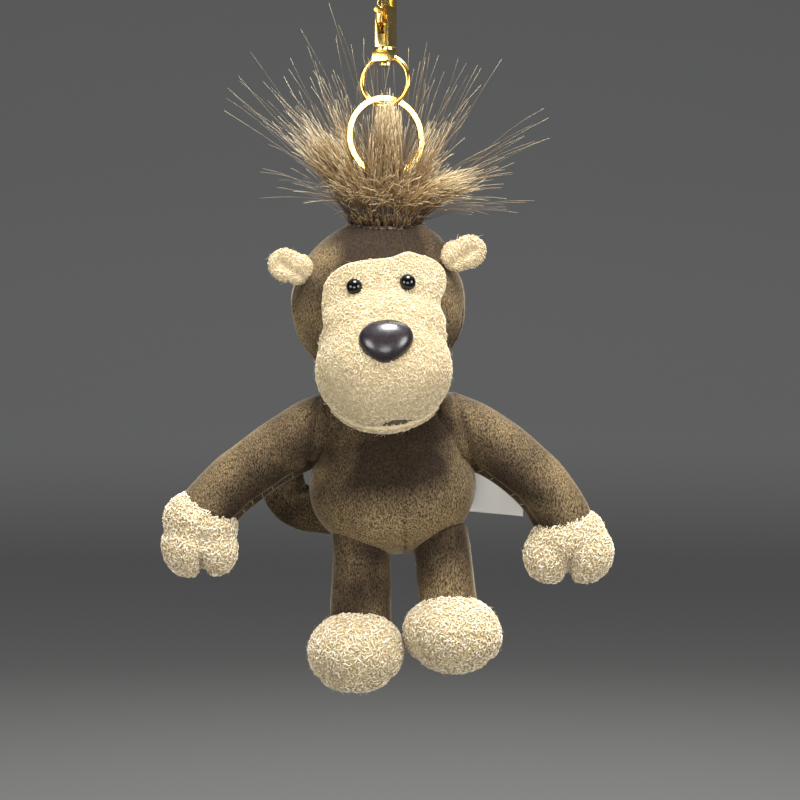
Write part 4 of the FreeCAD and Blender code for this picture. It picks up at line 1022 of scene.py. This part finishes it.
apply_all(label)
bpy.ops.object.shade_smooth()
dress(label, satin_tape, "label", "satin", "side_label")

# ---- The arms ----
# Each arm is a sleeve of velour, closed by a seam along its underside, stuffed, and sewn into the side of the body.
# Its hand is a mitten of curled fleece with a short thumb, sewn over the end of the sleeve.


def sleeve(name, stations, around=48, along=56):
    """A stuffed tube of cloth with blunt ends through stations, each a centre, a half width and a half depth, in mm."""
    rows = np.array([list(c) + [w, d] for c, w, d in stations], float)
    knots = np.linspace(0, len(rows) - 1, along)
    padded_rows = np.vstack([2 * rows[0] - rows[1], rows, 2 * rows[-1] - rows[-2]])
    path = []
    for t in knots:
        i = min(int(t), len(rows) - 2)
        f = t - i
        a, b, c, d = padded_rows[i:i + 4]
        path.append(0.5 * (2 * b + (c - a) * f + (2 * a - 5 * b + 4 * c - d) * f * f
                           + (3 * b - a - 3 * c + d) * f ** 3))
    path = np.array(path)
    way = np.gradient(path[:, :3], axis=0)
    way /= np.linalg.norm(way, axis=1, keepdims=True)
    wide = np.cross(way, [0, 1, 0])
    wide /= np.linalg.norm(wide, axis=1, keepdims=True)
    deep = np.cross(wide, way)
    turns = np.linspace(0, 2 * math.pi, around, endpoint=False)
    rings = []
    for end in (0, -1):
        blunt = []
        for a in np.linspace(8, 82, 7):
            q = math.radians(a)
            size = math.sin(q)
            past = (-1 if end == 0 else 1) * math.cos(q) * path[end, 4] * 0.45
            blunt.append((path[end, :3] + way[end] * past, size, end))
        rings.append(blunt if end == 0 else blunt[::-1])
    loops = rings[0] + [(path[i, :3], 1.0, i) for i in range(len(path))] + rings[1]
    mesh = bmesh.new()
    made = []
    for centre, size, i in loops:
        half_wide, half_deep = path[i, 3], path[i, 4]
        made.append([mesh.verts.new(MM * (
            centre + size * (math.cos(t) * half_wide * wide[i] + math.sin(t) * half_deep * deep[i]))) for t in turns])
    for a, b in zip(made, made[1:]):
        for i in range(around):
            j = (i + 1) % around
            mesh.faces.new((a[i], a[j], b[j], b[i]))
    mesh.faces.new(made[0][::-1])
    mesh.faces.new(made[-1])
    bmesh.ops.recalc_face_normals(mesh, faces=mesh.faces)
    bpy.ops.mesh.primitive_plane_add(size=1)
    tube = bpy.context.object
    tube.name = name
    mesh.to_mesh(tube.data)
    mesh.free()
    return tube


arms = {
    "left": dict(
        stations=[((17, 3.5, -132.5), 9.0, 8.2), ((25.2, 3.6, -136.6), 9.9, 8.8), ((34.6, 3.9, -141.8), 9.3, 8.4),
                  ((45.4, 4.0, -150.6), 8.8, 8.2), ((52.6, 4.0, -160.6), 8.7, 8.2), ((54.6, 4.0, -166.0), 8.3, 8.0)],
        hand=[((54.9, 3.8, -168.2), (11.4, 8.8, 8.6), -20), ((49.6, 3.4, -173.4), (7.6, 7.4, 8.2), 8),
              ((60.0, 3.8, -172.4), (8.6, 8.2, 9.0), -10)],
        notch=[(55.0, -181.5), (55.2, -178.0), (55.6, -175.0)], sign=1),
    "right": dict(
        stations=[((-13, 3.5, -132.0), 9.0, 8.2), ((-21.3, 3.6, -136.0), 10.0, 8.8), ((-33.6, 3.9, -143.0), 9.5, 8.4),
                  ((-45.2, 4.0, -151.4), 9.0, 8.3), ((-52.4, 4.0, -158.6), 8.8, 8.2), ((-55.0, 4.0, -162.6), 8.3, 8.0)],
        hand=[((-55.6, 3.8, -163.6), (11.2, 9.0, 9.0), 18), ((-58.4, 3.4, -170.4), (8.6, 8.2, 9.2), 12),
              ((-51.4, 3.6, -171.4), (6.8, 7.6, 8.0), -8)],
        notch=[(-54.9, -181.0), (-54.8, -177.6), (-54.8, -174.8)], sign=-1)}
for side, arm in arms.items():
    sign = arm["sign"]
    stations = arm["stations"]
    tube = sleeve("arm_%s_velour" % side, stations)
    lumps(tube, size=10, height=0.45, seed=4 + sign)
    seam = [(c[0] - sign * w * 0.62, c[2] - w * 0.66) for c, w, d in stations[1:]]
    press_line(tube, seam, depth=0.9, wide=0.55, front=(0, -1, 0))
    press_line(tube, armholes[side], depth=1.5, wide=0.9, front=(0, -1, 0))
    # The upper side of each sleeve is painted lighter, as light falls on it from above.
    brush_and_paint_light(tube, *[(c[0] + sign * w * 0.45, c[2] + w * 0.45, 7, 0.5) for c, w, d in stations[1:5]])
    sewn = stitches("arm_%s_seam_stitches" % side, tube, seam[1:], count=9, long=1.2,
                    finish=threads["tan_spun_thread"])
    stuff(tube, "arm_%s_fibre_fill" % side, inset=1.5, body="arm_" + side, node="arm_%s_stuffing" % side)
    smooth(tube)
    dress(tube, brown_velour, None, "brown_velour", "arm_%s_cover" % side)
    for part in (tube, sewn):
        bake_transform(part)
    hand = run_together("hand_%s_cloth" % side, arm["hand"], cell=0.9, relax=6)
    press_line(hand, arm["notch"], depth=2.2, wide=1.5)
    lumps(hand, size=8, height=0.35, seed=9 + sign)
    finer(hand, 1)
    stuff(hand, "hand_%s_fibre_fill" % side, inset=1.4, body="arm_" + side, node="hand_%s_stuffing" % side)
    smooth(hand)
    dress(hand, fleece_knit, "arm_" + side, "cream_boucle", "hand_%s_cover" % side)
    curl_coat("hand_%s_curls" % side, hand, "arm_" + side, seed=40 + sign)

# ---- The legs ----
# Short velour tubes sewn under the body, each with a foot of curled fleece: a domed upper and a flat sole,
# joined by a seam that runs low round the foot.
legs = {
    "left": dict(
        stations=[((16.4, 1.6, -166.0), 8.4, 8.6), ((17.0, 1.4, -171.0), 8.6, 8.7), ((17.8, 1.2, -178.0), 8.6, 8.4),
                  ((18.8, 1.1, -185.0), 8.7, 8.3), ((19.6, 1.0, -190.5), 8.9, 8.2), ((19.9, 1.0, -193.5), 8.6, 8.0)],
        lit=(20, -184, 8, 0.6), foot=((20.1, -3.6, -196.4), (14.4, 14.6, 11.4), 5),
        tops=((19.9, 0.4, -192.6), (10.6, 10.2, 7.0), 0)),
    "right": dict(
        stations=[((-7.4, 1.6, -166.5), 8.6, 8.6), ((-7.3, 1.4, -172.0), 8.6, 8.7), ((-7.2, 1.2, -180.0), 8.9, 8.4),
                  ((-7.2, 1.1, -188.0), 9.1, 8.3), ((-7.3, 1.0, -194.5), 9.1, 8.2), ((-7.5, 1.0, -197.5), 8.7, 8.0)],
        lit=(-3, -192, 5, 0.4), foot=((-8.6, -3.6, -201.6), (14.1, 14.6, 11.8), -4),
        tops=((-8.2, 0.4, -197.8), (11.2, 10.2, 7.2), 0))}
for side, leg in legs.items():
    tube = sleeve("leg_%s_velour" % side, leg["stations"])
    lumps(tube, size=9, height=0.4, seed=14 + len(side))
    # A painted highlight where light falls on the leg's front.
    brush_and_paint_light(tube, leg["lit"])
    stuff(tube, "leg_%s_fibre_fill" % side, inset=1.5, body="leg_" + side, node="leg_%s_stuffing" % side)
    smooth(tube)
    dress(tube, brown_velour, None, "brown_velour", "leg_%s_cover" % side)
    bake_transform(tube)
    foot = run_together("foot_%s_upper_cloth" % side, [leg["foot"], leg["tops"]], cell=0.9, relax=6)
    lumps(foot, size=9, height=0.4, seed=17 + len(side))
    finer(foot, 1)
    low = leg["foot"][0][2] - 7.6
    spots, ways = places(foot)
    line = np.exp(-((spots[:, 2] / MM - low) / 0.8) ** 2)
    move_to(foot, spots - ways * line[:, None] * 0.7 * MM)
    stuff(foot, "foot_%s_fibre_fill" % side, inset=1.4, body="leg_" + side, node="foot_%s_stuffing" % side)
    smooth(foot)
    curl_coat("foot_%s_curls" % side, foot, "leg_" + side, seed=60 + len(side))
    sole = split_by(foot, (0, 0, low), (0, 0, -1), "foot_%s_sole_cloth" % side)
    for piece, node in ((foot, "foot_%s_upper" % side), (sole, "foot_%s_sole" % side)):
        dress(piece, fleece_knit, "leg_" + side, "cream_boucle", node)

# ---- The tail ----
# A flat velour tube, loosely stuffed, that leaves the back above the right leg and curls out and up behind the arm.
tail_path = [((-9, 19.0, -163.5), 5.8, 3.6), ((-16.5, 23.2, -161.8), 6.3, 3.7), ((-24.0, 24.2, -160.6), 6.8, 3.7),
             ((-30.2, 24.5, -156.6), 7.0, 3.7), ((-31.6, 24.7, -149.5), 6.4, 3.7), ((-29.9, 24.7, -143.8), 5.8, 3.6),
             ((-27.4, 24.6, -140.2), 4.6, 3.2), ((-26.0, 24.6, -138.6), 3.0, 2.4)]
tail = sleeve("tail_velour", tail_path)
press_line(tail, [(-27.4, -155.6), (-24.6, -154.6)], depth=1.5, wide=1.5, front=(0, -1, 0))
press_line(tail, [(-24.0, -153.8), (-16.0, -155.5)], depth=0.8, wide=1.2, front=(0, -1, 0))
lumps(tail, size=7, height=0.5, seed=21)
tail_fill = sleeve("tail_fibre_fill", [(c, w - 2.4, d - 2.1) for c, w, d in tail_path[:-1]])
dress(tail_fill, fibre_fill, "tail", "fibre_fill", "tail_stuffing")
smooth(tail)
dress(tail, brown_velour, None, "brown_velour", "tail_cover")
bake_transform(tail)
